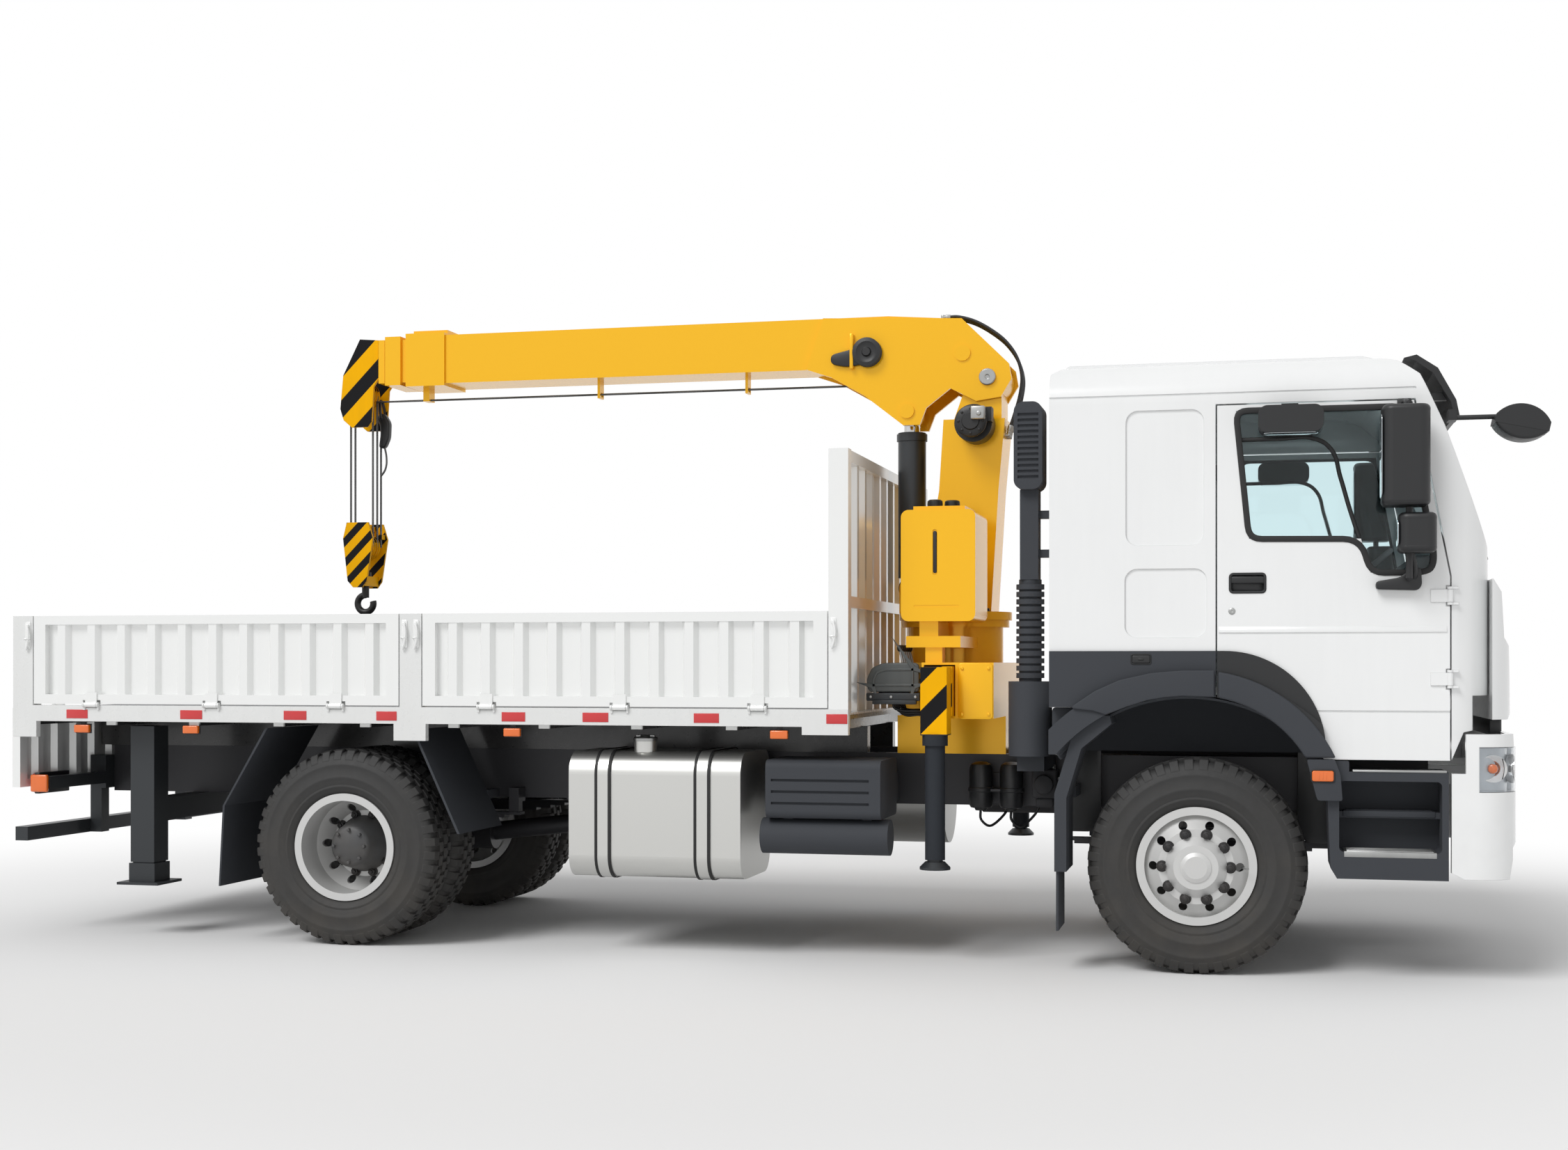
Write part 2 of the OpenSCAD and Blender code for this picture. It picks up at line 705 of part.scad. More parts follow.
module cab_interior() ahead() color("#4a4e52") {
    // Seat boxes and the bunk's base
    for (y = [-seat_y, seat_y])
        block(seat_x + 100, seat_x + 400, y - 180, y + 180, floor_z, seat_z);
    block(cab_x0 + cab_wall + seat_gap, bunk_x1, -cab_half + 90, cab_half - 90, floor_z, bunk_z);
    // Dashboard and steering column on the left
    difference() {
        union() {
            side_plate(-cab_half + 80, cab_half - 80)
                polygon([[5600, 1700], [5560, 1980], [5640, 2080], [5735, 2080], [5735, 1700]]);
            block(5734, 5890, -cab_half + cab_corner + 20, cab_half - cab_corner - 20, 1700, 2080);
        }
        block(5500, 5700, -cab_half, 150, 1690, 1860);
    }
    block(5800, cab_front_x - cab_wall - seat_gap, -900, 900, 1720, 1900);
    translate([5470, seat_y, 2060]) rotate([0, -40, 0]) {
        rotate_extrude() translate([215, 0]) circle(r = 16, $fn = 24);
        cylinder(r = 40, h = 20);
        for (a = [0, 120, 240]) rotate([0, 0, a]) translate([0, -14, 0]) cube([215, 28, 14]);
        translate([0, 0, -240]) cylinder(r = 24, h = 245);
    }
}

module seats() ahead() color("#3c3f43") {
    for (y = [-seat_y, seat_y]) {
        side_plate(y - 240, y + 240) round_rect(seat_x, seat_x + 500, seat_z + seat_gap, seat_z + 130, 40);
        translate([seat_x + 60, y, seat_z + 100]) rotate([0, -12, 0]) {
            side_plate(-230, 230) round_rect(-110, 0, 0, 620, 40);
            side_plate(-130, 130) round_rect(-90, -10, 610, 790, 30);
        }
    }
    // Mattress of the bunk
    side_plate(-cab_half + 95, cab_half - 95)
        round_rect(cab_x0 + cab_wall + 10, bunk_x1 - 10, bunk_z + seat_gap, bunk_z + 120, 40);
}

module door_plate() {
    difference() {
        side_plate(-cab_half, -cab_half + cab_wall) door_outline(0);
        side_plate(-cab_half - eps, -cab_half + cab_wall + eps) window_outline(0);
        for (z = door_hinges) rod_z(door_axis[0], -door_axis[1], lug_r + 6, z - 50, z + 50);
        // Handle recess
        side_plate(-cab_half - eps, -cab_half + 22) round_rect(4766, 4934, 1904, 1995, 18);
        // Sill groove across the lower door
        block(4990, door_x1 + eps, -cab_half - eps, -cab_half + 6, 1318, 1326);
    }
    // Hinge straps
    for (z = door_hinges) difference() {
        union() {
            rod_z(door_axis[0], -door_axis[1], lug_r, z - 31, z + 31);
            block(door_axis[0] - 90, door_axis[0], -door_axis[1] - 5, -cab_half + eps, z - 31, z + 31);
        }
        rod_z(door_axis[0], -door_axis[1], hinge_pin_r + pin_gap, z - 40, z + 40);
    }
    // Grip in the recess
    side_plate(-cab_half + 2, -cab_half + 16) round_rect(4752, 4948, 1950, 1982, 14);
}

module door_right() ahead() color("#f4f5f5") door_plate();
module door_left() ahead() color("#f4f5f5") left_side() door_plate();

module door_pane() {
    side_plate(-cab_half + 24, -cab_half + 24 + glass_t) window_outline(-seat_gap);
}

module door_glass_right() ahead() color("#3b474b") door_pane();
module door_glass_left() ahead() color("#3b474b") left_side() door_pane();

module door_fittings() {
    y1 = -cab_half - 60;
    y0 = y1 - 190;
    // Main and wide angle mirrors on the front arm, kerb mirror over the window
    translate([0, 0, 2322]) linear_extrude(height = 436) round_rect(5470, 5690, y0, y1, 50);
    translate([0, 0, 2101]) linear_extrude(height = 146) round_rect(5545, 5720, y0 + 20, y1, 45);
    rod_z(5600, y1 - 60, 16, 1960, 2800);
    for (z = [1960, 2790]) rod_y(5600, z + 6, 14, y1 - 60, -cab_half);
    side_plate(y0 + 10, y1 + 10) round_rect(4900, 5205, 2660, 2790, 44);
    block(5010, 5090, y1, -cab_half, 2790, 2818);
    // Dark lower panel with the lip of the arch
    side_plate(-cab_half - trim_t, -cab_half) door_trim_outline();
    side_plate(-cab_half - lip_t, -cab_half) intersection() {
        arch_lip(door_x0, 5400);
        door_trim_outline();
    }
}

module door_fittings_right() ahead() color("#26292c") door_fittings();
module door_fittings_left() ahead() color("#26292c") left_side() door_fittings();

module bumper() ahead() color("#f4f5f5") {
    difference() {
        intersection() {
            side_plate(-cab_half, cab_half) polygon([
                [bumper_x0, bumper_z0 + 30], [bumper_x0 + 60, bumper_z0], [bumper_x1 - 40, bumper_z0],
                [bumper_x1 - 22, bumper_z0 + 90], [bumper_x1 - 22, bumper_z0 + 150],
                [bumper_x1, bumper_z0 + 180],
                [bumper_x1, bumper_z1 - 320], [bumper_x1 - 20, bumper_z1], [bumper_x0 + 65, bumper_z1],
                [bumper_x0 + 65, bumper_z1 - 190], [bumper_x0, bumper_z1 - 190]
            ]);
            translate([0, 0, 400]) linear_extrude(height = 1000)
                round_rect(5300, bumper_x1, -cab_half, cab_half, 200);
        }
        // Hollow behind its skin
        translate([0, 0, 400]) linear_extrude(height = 1000)
            round_rect(5300, bumper_x1 - 50, -cab_half + 50, cab_half - 50, 150);
        // Openings for the lamps and the lower grille
        lamp_openings(0);
        block(bumper_x1 - 100, bumper_x1 + 50, -560, 560, 760, 900);
    }
    // Arms that hold it on the frame rails
    both_sides() block(frame_front + seat_gap, bumper_x1 - 49, -rail_half, -rail_half + rail_w, 930, 1030);
}

module lamp_openings(shrink) {
    both_sides() intersection() {
        block(5929 + shrink, 6200, -cab_half - 20, -800 - shrink, 937 + shrink, 1154 - shrink);
        difference() {
            translate([0, 0, 400]) linear_extrude(height = 1000)
                round_rect(5300, bumper_x1 - shrink, -cab_half + shrink, cab_half - shrink, 200 - shrink);
            translate([0, 0, 300]) linear_extrude(height = 1200)
                round_rect(5300, bumper_x1 - 49 + shrink, -cab_half + 49 - shrink, cab_half - 49 + shrink,
                    151 + shrink);
        }
    }
}

module lamps() color("#dfe6ea") {
    ahead() lamp_openings(seat_gap);
    // Tail lamps on the lamp bar
    both_sides() block(bed_x0 + 20, bed_x0 + 66, -1090, -800, 803, 921);
}

// Dark lower panel of the cab side behind the door, down to the wheel arch
module cab_trim_outline() {
    difference() {
        translate([cab_x0, skirt_z]) square([door_x0 - door_gap - cab_x0, trim_z - skirt_z]);
        translate([arch_x, arch_z]) circle(r = arch_r);
    }
}

// The same panel on the door, round the front of the arch
module door_trim_outline() {
    corner_x = door_x0 + 36;
    difference() {
        intersection() {
            translate([door_x0, door_z0 + 12]) square([600, trim_z - door_z0 - 12]);
            union() {
                translate([corner_x, trim_z - trim_r]) circle(r = trim_r);
                translate([door_x0 - 100, door_z0]) square([corner_x - door_x0 + 100, trim_z - door_z0]);
            }
        }
        translate([arch_x, arch_z]) circle(r = arch_r);
    }
}

// Lip round the arch, where it crosses one of the two panels
module arch_lip(x0, x1) {
    intersection() {
        translate([arch_x, arch_z]) difference() {
            circle(r = arch_r + lip_w);
            circle(r = arch_r);
        }
        translate([x0, door_z0 + 12]) square([x1 - x0, trim_z - door_z0]);
    }
}

module step_box() {
    x0 = 5243;
    x1 = 5790;
    y0 = -cab_half;
    y1 = -cab_half + fender_w;
    top_z = door_z0 - 58;
    well_z = [640, 985];
    tread_z = 800;
    difference() {
        side_plate(y0, y1) polygon([[x0 - 20, top_z], [x0, 560], [x0 + 30, 510], [x1, 510], [x1, top_z]]);
        // Well for the foot
        side_plate(y0 - eps, y0 + 230) round_rect(x0 + 40, x1 - 30, well_z[0], well_z[1], 24);
    }
    // Upper step, set back in the well
    block(x0 + 30, x1 - 20, y0 + 110, y0 + 231, tread_z, tread_z + 30);
    // Seat of the side lamp, up to the door
    side_plate(y0, y0 + 145) round_rect(x0 - 18, x0 + 87, top_z - 20, door_z0 - 6, 8);
    block(x0 + 60, x1 - 60, y1 - eps, -rail_half, 800, 900);
}

module front_guard() {
    // Guard behind the front wheel, with its flap
    side_plate(-cab_half, -cab_half + fender_w) polygon([
        [3905, 510], [3905, 900], [3990, 1180], [4110, 1295], [4180, 1295], [4190, 1255], [4040, 1130],
        [3965, 880], [3965, 510]
    ]);
    block(3912, 3924, -cab_half + 20, -cab_half + fender_w - 20, 210, 511);
    block(3930, 3980, -cab_half + fender_w - eps, -rail_half, 860, 920);
}

// Liner over the front wheel, closed towards the engine
module arch_liner() {
    liner_r = arch_r - 8;
    liner_t = 12;
    wall_y = 600;
    low_z = axle_z + tyre_r + 8;
    side_plate(-cab_half + cab_wall + 6, -wall_y) intersection() {
        translate([arch_x, arch_z]) difference() {
            circle(r = liner_r, $fn = 96);
            circle(r = liner_r - liner_t, $fn = 96);
        }
        translate([arch_x - arch_r, low_z]) square([2 * arch_r, arch_r]);
    }
    side_plate(-wall_y - liner_t, -wall_y) intersection() {
        translate([arch_x, arch_z]) circle(r = liner_r, $fn = 96);
        translate([arch_x - arch_r, low_z]) square([2 * arch_r, arch_r]);
    }
}

module rear_guards() {
    guard_y = bed_half - 45;
    // Plates before and behind the rear wheels
    side_plate(-guard_y, -590) polygon([[410, 1195], [425, 1195], [690, 630], [675, 630]]);
    side_plate(-guard_y, -590) polygon([
        [-455, 1195], [-470, 1195], [-730, 760], [-guard_x, 310], [-guard_x + 10, 310], [-718, 760]
    ]);
    block(560, 610, -600, -rail_half, 780, 830);
    block(-660, -610, -600, -rail_half, 900, 950);
}

module fenders() color("#33373b") both_sides() {
    rear_guards();
    ahead() {
        step_box();
        front_guard();
        arch_liner();
        side_plate(-cab_half - trim_t, -cab_half) cab_trim_outline();
        side_plate(-cab_half - lip_t, -cab_half) arch_lip(cab_x0, door_x0 - door_gap);
    }
}

module snorkel() ahead() color("#26292c") {
    y = -1010;
    // Intake head with its louvres, riser, bellows and air cleaner
    difference() {
        side_plate(y - 110, y + 110) round_rect(3686, 3831, 2444, 2892, 50);
        for (i = [0 : 11])
            block(3706, 3812, y - 111, y - 100, 2500 + i * 29, 2515 + i * 29);
    }
    block(3712, 3806, y - 60, y + 60, 1986, 2446);
    for (i = [0 : 12]) rod_z(3759, y, 72, 1480 + i * 38, 1506 + i * 38);
    rod_z(3759, y, 58, 1462, 1987);
    rod_z(3759, y, 112, 1080, 1463);
    block(3690, 3830, y, -rail_half, 1000, 1081);
    for (z = [2300, 2100]) block(3805, cab_x0 - seat_gap, y - 30, y + 30, z, z + 40);
}

// Front edge of the cab over the windscreen at height z
function brow_x(z) = screen_high[0] + (brow[0] - screen_high[0]) * (z - screen_high[1])
    / (roof_z - brow[1] - screen_high[1]);

module sun_visor() ahead() color("#23262a") {
    stay_z = roof_z - 215;
    // Curved visor over the windscreen
    side_plate(-1010, 1010) polygon([
        [5600, roof_z - 11], [5660, roof_z + 3], [5760, roof_z - 65], [5846, roof_z - 225],
        [5862, roof_z - 305], [5836, roof_z - 309], [5820, roof_z - 235], [5736, roof_z - 90],
        [5655, roof_z - 29]
    ]);
    for (y = [-900, 0, 900]) side_plate(y - 20, y + 20)
        polygon([[brow_x(stay_z + 40), stay_z + 40], [brow_x(stay_z), stay_z], [5812, stay_z], [5790,
            stay_z + 40]]);
    // Front mirror on its arm
    arm_y = -1100;
    arm_z = roof_z - 325;
    rod_x(arm_y, arm_z, 12, 5830, 6050);
    block(5800, 5840, arm_y - 14, -1000, arm_z - 12, arm_z + 40);
    translate([6133, arm_y - 20, arm_z - 25]) rotate([0, 12, 0]) {
        side_plate(-100, 100) intersection() {
            translate([0, -80]) circle(r = 150);
            translate([-125, -40]) square([250, 120]);
        }
    }
}

// Crane

module crane_base() ahead() color("#e8a90f") {
    // Two cross tubes that carry the outrigger beams
    for (x = [beam_x_right, beam_x_left]) difference() {
        block(x - beam_w / 2 - housing_side - housing_wall, x + beam_w / 2 + housing_side + housing_wall,
            -housing_half, housing_half, beam_z0 - seat_gap - housing_wall, housing_top);
        block(x - beam_w / 2 - housing_side, x + beam_w / 2 + housing_side, -housing_half - eps,
            housing_half + eps, beam_z0 - seat_gap, beam_z0 + beam_h + housing_side);
    }
    // Saddle on the frame rails
    block(slew_x - 260, beam_x_left + 95, -rail_half, rail_half, rail_top,
        beam_z0 - seat_gap - housing_wall + eps);
    // Pedestal and slewing ring
    rod_z(slew_x, 0, 270, housing_top - eps, ring_z - 40);
    block(slew_x - 260, beam_x_right - beam_w / 2 - 19, -300, 300, rail_top + 100, housing_top);
    rod_z(slew_x, 0, 305, ring_z - 40, ring_z);
    // Bracket under the oil tank
    block(slew_x - 130, slew_x + 160, -housing_half + 40, -250, 1640, 1700);
    block(slew_x - 30, slew_x + 60, -housing_half + 60, -housing_half + 160, housing_top - eps, 1641);
}

module oil_tank() ahead() color("#f2b416") {
    x0 = slew_x - 149;
    x1 = slew_x + 245;
    y0 = -housing_half - 10;
    y1 = y0 + 470;
    difference() {
        side_plate(y0, y1) round_rect(x0, x1, 1777, 2363, 40);
        // Sight gauge slot and pressed lower panel
        side_plate(y0 - eps, y0 + 8) round_rect(slew_x + 20, slew_x + 44, 2020, 2260, 11);
        side_plate(y0 - eps, y0 + 3) round_rect(slew_x - 80, slew_x + 160, 1850, 1862, 5);
    }
    block(x0 + 60, x1 - 60, y0 + 40, y1 - 40, 2362, 2384);
    block(slew_x - 60, slew_x + 40, y0 + 60, y1 - 60, 1700, 1778);
}

module column_outline() {
    polygon([
        [slew_x - 190, ring_z + 45], [slew_x + 225, ring_z + 45], [3486, 2530], [3522, 2930],
        [3175, 2930], [3150, 2530]
    ]);
}

module column() ahead() color("#f2b416") {
    difference() {
        union() {
            rod_z(slew_x, 0, 320, ring_z + seat_gap, ring_z + 46);
            side_plate(-column_half, column_half) column_outline();
            // Tongue that carries the boom
            side_plate(-tongue_half, tongue_half) {
                polygon([[3230, 2929], [pivot_x + 75, 2929], [pivot_x + 75, pivot_z], [pivot_x - 112,
                    pivot_z]]);
                translate([pivot_x, pivot_z]) circle(r = 112);
            }
            // Ears at the foot of the lift cylinder
            both_sides() side_plate(-110, -80) {
                translate([lift_x - 55, ring_z + 40]) square([150, lift_base_z - ring_z - 40]);
                translate([lift_x, lift_base_z]) circle(r = 55);
            }
            rod_y(pivot_x, pivot_z, pivot_pin_d / 2, -column_half - 14, column_half + 14);
        }
        // Hollow box, open at the back where the hoist rope leaves the winch drum
        side_plate(-column_half + 16, column_half - 16) polygon([
            [slew_x - 160, ring_z + 60], [slew_x + 195, ring_z + 60], [3462, 2530], [3486, 2890],
            [3215, 2890],
            [3190, 2530]
        ]);
        block(3100, 3230, -60, 60, 2600, 2760);
    }
    rod_y(lift_x, lift_base_z, 35, -120, 120);
}

module winch() ahead() color("#2a2d30") {
    x = 3364;
    z = 2889;
    y = -column_half;
    rod_y(x, z, 105, y - 150, y - seat_gap);
    rod_y(x, z, 70, y - 235, y - 149);
    block(x + 20, x + 110, y - 210, y - 120, z, z + 80);
}

module cheek_outline() {
    difference() {
        polygon([
            [2480, boom_z + boom_h], [3278, 3498], [3545, 3235], [3560, 3150], [3500, 3050], [3360, 3030],
            [3214, 3106], [3077, 3000], [3040, 2905], [2945, 2905], [2722, 3079], [2529, 3189], [2380, boom_z]
        ]);
        translate([pivot_x, pivot_z]) circle(r = pivot_pin_d / 2 + pin_gap);
    }
}

module boom_base() ahead() color("#f2b416") {
    cheek_y = boom_half + 2;
    box_beam(base_end_x, boom_tail_x, boom_half, boom_z, boom_z + boom_h, boom_wall);
    // Cheeks that hold the pivot and the lift cylinder
    both_sides() side_plate(-cheek_y - cheek_t, -cheek_y + 2.5) cheek_outline();
    // Closing plates between the cheeks
    side_plate(-cheek_y, cheek_y) {
        polygon([[2850, 3530], [2850, 3516], [3270, 3484], [3278, 3498]]);
        polygon([[3270, 3484], [3278, 3498], [3520, 3260], [3512, 3250]]);
    }
    side_plate(-cheek_y, cheek_y) polygon([[2850, boom_z], [2850, 3528], [2836, 3528], [2836, boom_z]]);
    // Pin bosses on both sides of the cylinder rod's eye
    both_sides() rod_y(lift_x, lift_pin_z, 42, -cheek_y - cheek_t - 12, -82);
    // Boss of the telescope cylinder's pin
    both_sides() rod_y(3283, 3303, 46, -cheek_y - cheek_t - 10, -cheek_y);
    // Collar and wear pad housing at the open end
    difference() {
        block(base_end_x, base_end_x + 250, -boom_half - 14, boom_half + 14, boom_z - 14,
            boom_z + boom_h + 14);
        block(base_end_x - eps, base_end_x + 251, -boom_half + eps, boom_half - eps, boom_z + eps,
            boom_z + boom_h - eps);
    }
    block(base_end_x + 20, base_end_x + 240, -90, 90, boom_z + boom_h + 13, boom_z + boom_h + 40);
    front_pad(0, base_end_x);
    // Rope guides under the boom
    for (x = [1083, 1993]) {
        block(x - 8, x + 8, -36, 36, boom_z - 70, boom_z + eps);
        block(x - 8, x + 8, -36, 36, boom_z - 105, boom_z - 95);
        both_sides() block(x - 8, x + 8, -36, -26, boom_z - 105, boom_z - 60);
    }
    block(base_end_x + 60, base_end_x + 100, -40, 40, boom_z - 90, boom_z - 13);
}

function inner_half(level) = boom_half - level * (boom_wall + boom_gap);
function inner_z0(level) = boom_z + level * (boom_wall + boom_gap);
function inner_z1(level) = boom_z + boom_h - level * (boom_wall + boom_gap);

// Wear pad on the floor of a section, at its open end
module front_pad(level, end_x) {
    z = inner_z0(level) + boom_wall;
    block(end_x + 20, end_x + 120, -70, 70, z - eps, z + boom_gap - seat_gap);
}

// Wear pad on the roof of a section, at its inner end
module rear_pad(level) {
    x1 = section_start - section_step * level;
    z = inner_z1(level);
    block(x1 - 120, x1 - 20, -70, 70, z - eps, z + boom_gap - seat_gap);
}

// A telescoping section with its collar in front of the section outside it
module boom_section(level, end_x, collar_l) {
    half = inner_half(level);
    z0 = inner_z0(level);
    z1 = inner_z1(level);
    box_beam(end_x, section_start - section_step * level, half, z0, z1, boom_wall);
    difference() {
        block(end_x, end_x + collar_l, -half - 18, half + 18, z0 - 18, z1 + 18);
        block(end_x - eps, end_x + collar_l + eps, -half + eps, half - eps, z0 + eps, z1 - eps);
    }
    front_pad(level, end_x);
    rear_pad(level);
}

module boom_section_2() ahead() color("#f2b416")
    boom_section(1, section_2_end, base_end_x - section_2_end - 40);

module boom_section_3() ahead() color("#f2b416")
    boom_section(2, section_3_end, section_2_end - section_3_end - 10);

module head_outline() {
    polygon([
        [-300, 3520], [-422, 3530], [-533, 3313], [-552, 3110], [-530, 3040], [-476, 2995], [-370, 2995],
        [-345, 3027], [-331, 3240], [-300, 3285]
    ]);
}

// Sheave with a groove for the rope, its middle at y
module sheave(x, y, z) {
    translate([x, y, z]) rotate([90, 0, 0]) rotate_extrude() polygon([
        [0, -sheave_half], [sheave_r + 18, -sheave_half], [sheave_r + 18, -sheave_half + 5], [sheave_r, -8],
        [sheave_r, 8], [sheave_r + 18, sheave_half - 5], [sheave_r + 18, sheave_half], [0, sheave_half]
    ]);
}

module boom_head() ahead() color("#f2b416") {
    half = inner_half(3);
    box_beam(-305, section_start - section_step * 3, half, inner_z0(3), inner_z1(3), boom_wall);
    both_sides() side_plate(-half - 14, -half + 2) head_outline();
    block(-320, -304, -half, half, inner_z0(3), inner_z1(3));
    rear_pad(3);
    // Sheaves on their pin
    rod_y(head_x, sheave_z, 30, -half, half);
    for (y = sheave_y) sheave(head_x, y, sheave_z);
}

module lift_barrel() ahead() color("#303337") {
    difference() {
        union() {
            rod_z(lift_x, 0, lift_d / 2, lift_base_z + 60, 2878);
            rod_z(lift_x, 0, lift_d / 2 + 8, 2830, 2870);
            rod_y(lift_x, lift_base_z, 66, -74, 74);
            block(lift_x - 55, lift_x + 55, -70, 70, lift_base_z, lift_base_z + 70);
        }
        rod_z(lift_x, 0, lift_rod_d / 2 + 4, lift_base_z + 120, 2820);
        rod_z(lift_x, 0, lift_rod_d / 2 + pin_gap, 2810, 2879);
        rod_y(lift_x, lift_base_z, 35 + pin_gap, -75, 75);
    }
}

module lift_rod() ahead() color("#c8cacc") {
    rod_z(lift_x, 0, lift_rod_d / 2, lift_base_z + 140, lift_pin_z - 40);
    rod_y(lift_x, lift_pin_z, 60, -74, 74);
    block(lift_x - 40, lift_x + 40, -60, 60, lift_pin_z - 70, lift_pin_z);
}

module hoist_ropes() ahead() color("#55585b") {
    for (side = [-1, 1], y = sheave_y)
        rod_z(head_x + side * rope_x, y, rope_d / 2, block_sheave_z, sheave_z);
    // Dead end, from the head's pin to the becket of the block
    rod_z(head_x + rope_x, becket_y, rope_d / 2, block_z + 330, sheave_z - 20);
}

module block_outline() {
    polygon([
        [-96, 300], [-72, 396], [70, 396], [100, 300], [60, 40], [30, 0], [-30, 0], [-66, 40]
    ]);
}

module hook_block() ahead() color("#f2b416") {
    translate([head_x, 0, block_z]) {
        both_sides() side_plate(-112, -96) block_outline();
        // Sheaves, their pin and the cross head that carries the hook
        rod_y(0, block_sheave_z - block_z, 28, -97, 97);
        for (y = sheave_y) sheave(0, y, block_sheave_z - block_z);
        difference() {
            block(-40, 40, -97, 97, 10, 70);
            rod_z(0, 0, shank_r + pin_gap, 0, 80);
        }
        block(rope_x - 12, rope_x + 12, becket_y - 14, 97, 300, 330 - seat_gap);
        block(-20, 20, -97, 97, 350, 380);
    }
}

module hook() ahead() color("#26282a") {
    translate([head_x, 0, block_z]) {
        // Shank through the cross head, held by its nut
        rod_z(0, 0, shank_r, -60, 100);
        rod_z(0, 0, shank_r + 14, 70 + seat_gap, 96);
        translate([0, 0, -96]) rotate([90, 0, 0]) rotate([0, 0, 85])
            rotate_extrude(angle = 290) translate([52, 0]) circle(r = 20, $fn = 24);
    }
}

module outrigger_arm(x) {
    difference() {
        block(x - beam_w / 2, x + beam_w / 2, -beam_end_y + 90, 780, beam_z0, beam_z0 + beam_h);
        block(x - beam_w / 2 + beam_t, x + beam_w / 2 - beam_t, -beam_end_y + 110, 781, beam_z0 + beam_t,
            beam_z0 + beam_h - beam_t);
    }
    // End box and the jack's outer tube
    difference() {
        union() {
            block(x - 69, x + 69, -beam_end_y - 50, -beam_end_y + 91, 1184, 1536);
            rod_z(x, -beam_end_y, jack_d / 2, 540, 1190);
            rod_z(x, -beam_end_y, jack_d / 2 + 14, 1130, 1186);
        }
        rod_z(x, -beam_end_y, jack_rod_d / 2 + pin_gap, 539, 1480);
    }
}

module outrigger_right() ahead() color("#f2b416") outrigger_arm(beam_x_right);
module outrigger_left() ahead() color("#f2b416") left_side() outrigger_arm(beam_x_left);

module jack(x) {
    rod_z(x, -beam_end_y, jack_rod_d / 2, jack_foot_z + 10, 1470);
    translate([x, -beam_end_y, jack_foot_z]) rotate_extrude()
        polygon([[0, 0], [80, 0], [80, 12], [52, 40], [0, 40]]);
}

module jack_right() ahead() color("#3a3d40") jack(beam_x_right);
module jack_left() ahead() color("#3a3d40") left_side() jack(beam_x_left);

module rear_stabilizer() color("#2e3236") {
    half = leg_w / 2;
    both_sides() difference() {
        block(leg_x - half, leg_x + half, -leg_y - half, -leg_y + half, 418, 1196);
        block(leg_x - half + leg_t, leg_x + half - leg_t, -leg_y - half + leg_t, -leg_y + half - leg_t,
            417, 1180);
    }
    block(leg_x - 60, leg_x + 60, -leg_y + half - eps, leg_y - half + eps, rail_z0 - 130, rail_z0 - 0.3);
    // Underrun guard and lamp bar behind it
    block(bed_x0 - 55, bed_x0 + 25, -bed_half + 100, bed_half - 100, 533, 613);
    block(bed_x0 + 66, frame_rear - seat_gap, -1090, 1090, 830, 900);
    both_sides() {
        block(bed_x0 + 24, bed_x0 + 100, -rail_half - 90, -rail_half - 10, 533, 1000);
        block(bed_x0 + 40, frame_rear, -rail_half - 91, -rail_half, 800, 1000);
    }
}

module rear_leg(y) {
    half = leg_w / 2 - leg_t - pin_gap;
    difference() {
        block(leg_x - half, leg_x + half, y - half, y + half, leg_foot_z + 14, 1160);
        block(leg_x - half + leg_t, leg_x + half - leg_t, y - half + leg_t, y + half - leg_t, 430, 1161);
    }
    block(leg_x - 130, leg_x + 130, y - 130, y + 130, leg_foot_z, leg_foot_z + 15);
    block(leg_x - half - 16, leg_x + half + 16, y - half - 16, y + half + 16, leg_foot_z + 14, 412);
}

module rear_leg_right() color("#2e3236") rear_leg(-leg_y);
module rear_leg_left() color("#2e3236") rear_leg(leg_y);

// Wheels

module knuckle() {
    fork_r = 48;
    difference() {
        union() {
            // Fork round the boss of the axle beam
            for (z = [axle_z - 104, axle_z + 66]) {
                rod_z(front_x, -kingpin_y, fork_r, z, z + 38);
                block(front_x - fork_r, front_x + fork_r, -kingpin_y - 66, -kingpin_y, z, z + 38);
            }
            block(front_x - 62, front_x + 62, -kingpin_y - 90, -kingpin_y - 65, axle_z - 104, axle_z + 104);
            rod_y(front_x, axle_z, spindle_d / 2, -front_wheel_y - front_dish - 30, -kingpin_y - 80);
        }
        rod_z(front_x, -kingpin_y, kingpin_r + pin_gap, axle_z - 200, axle_z + 200);
    }
}

module knuckle_right() ahead() color("#26282b") knuckle();
module knuckle_left() ahead() color("#26282b") left_side() knuckle();

// Tyre section, radius against width, on the wheel's own axis
module tyre_section() {
    half = tyre_w / 2;
    bead = rim_r - 30;
    polygon([
        [bead, -bead_half], [rim_r, -bead_half], [rim_r + 30, -half + 10], [bead + 120, -half],
        [tyre_r - 110, -half + 6],
        [tyre_r - 40, -half + 20], [tyre_r - 8, -half + 44], [tyre_r, -half + 70], [tyre_r, half - 70],
        [tyre_r - 8, half - 44], [tyre_r - 40, half - 20], [tyre_r - 110, half - 6], [bead + 120, half],
        [rim_r + 30, half - 10], [rim_r, bead_half], [bead, bead_half]
    ]);
}

module tyre(x, y) {
    translate([x, y, axle_z]) rotate([90, 0, 0]) rotate_extrude($fn = 96) tyre_section();
}

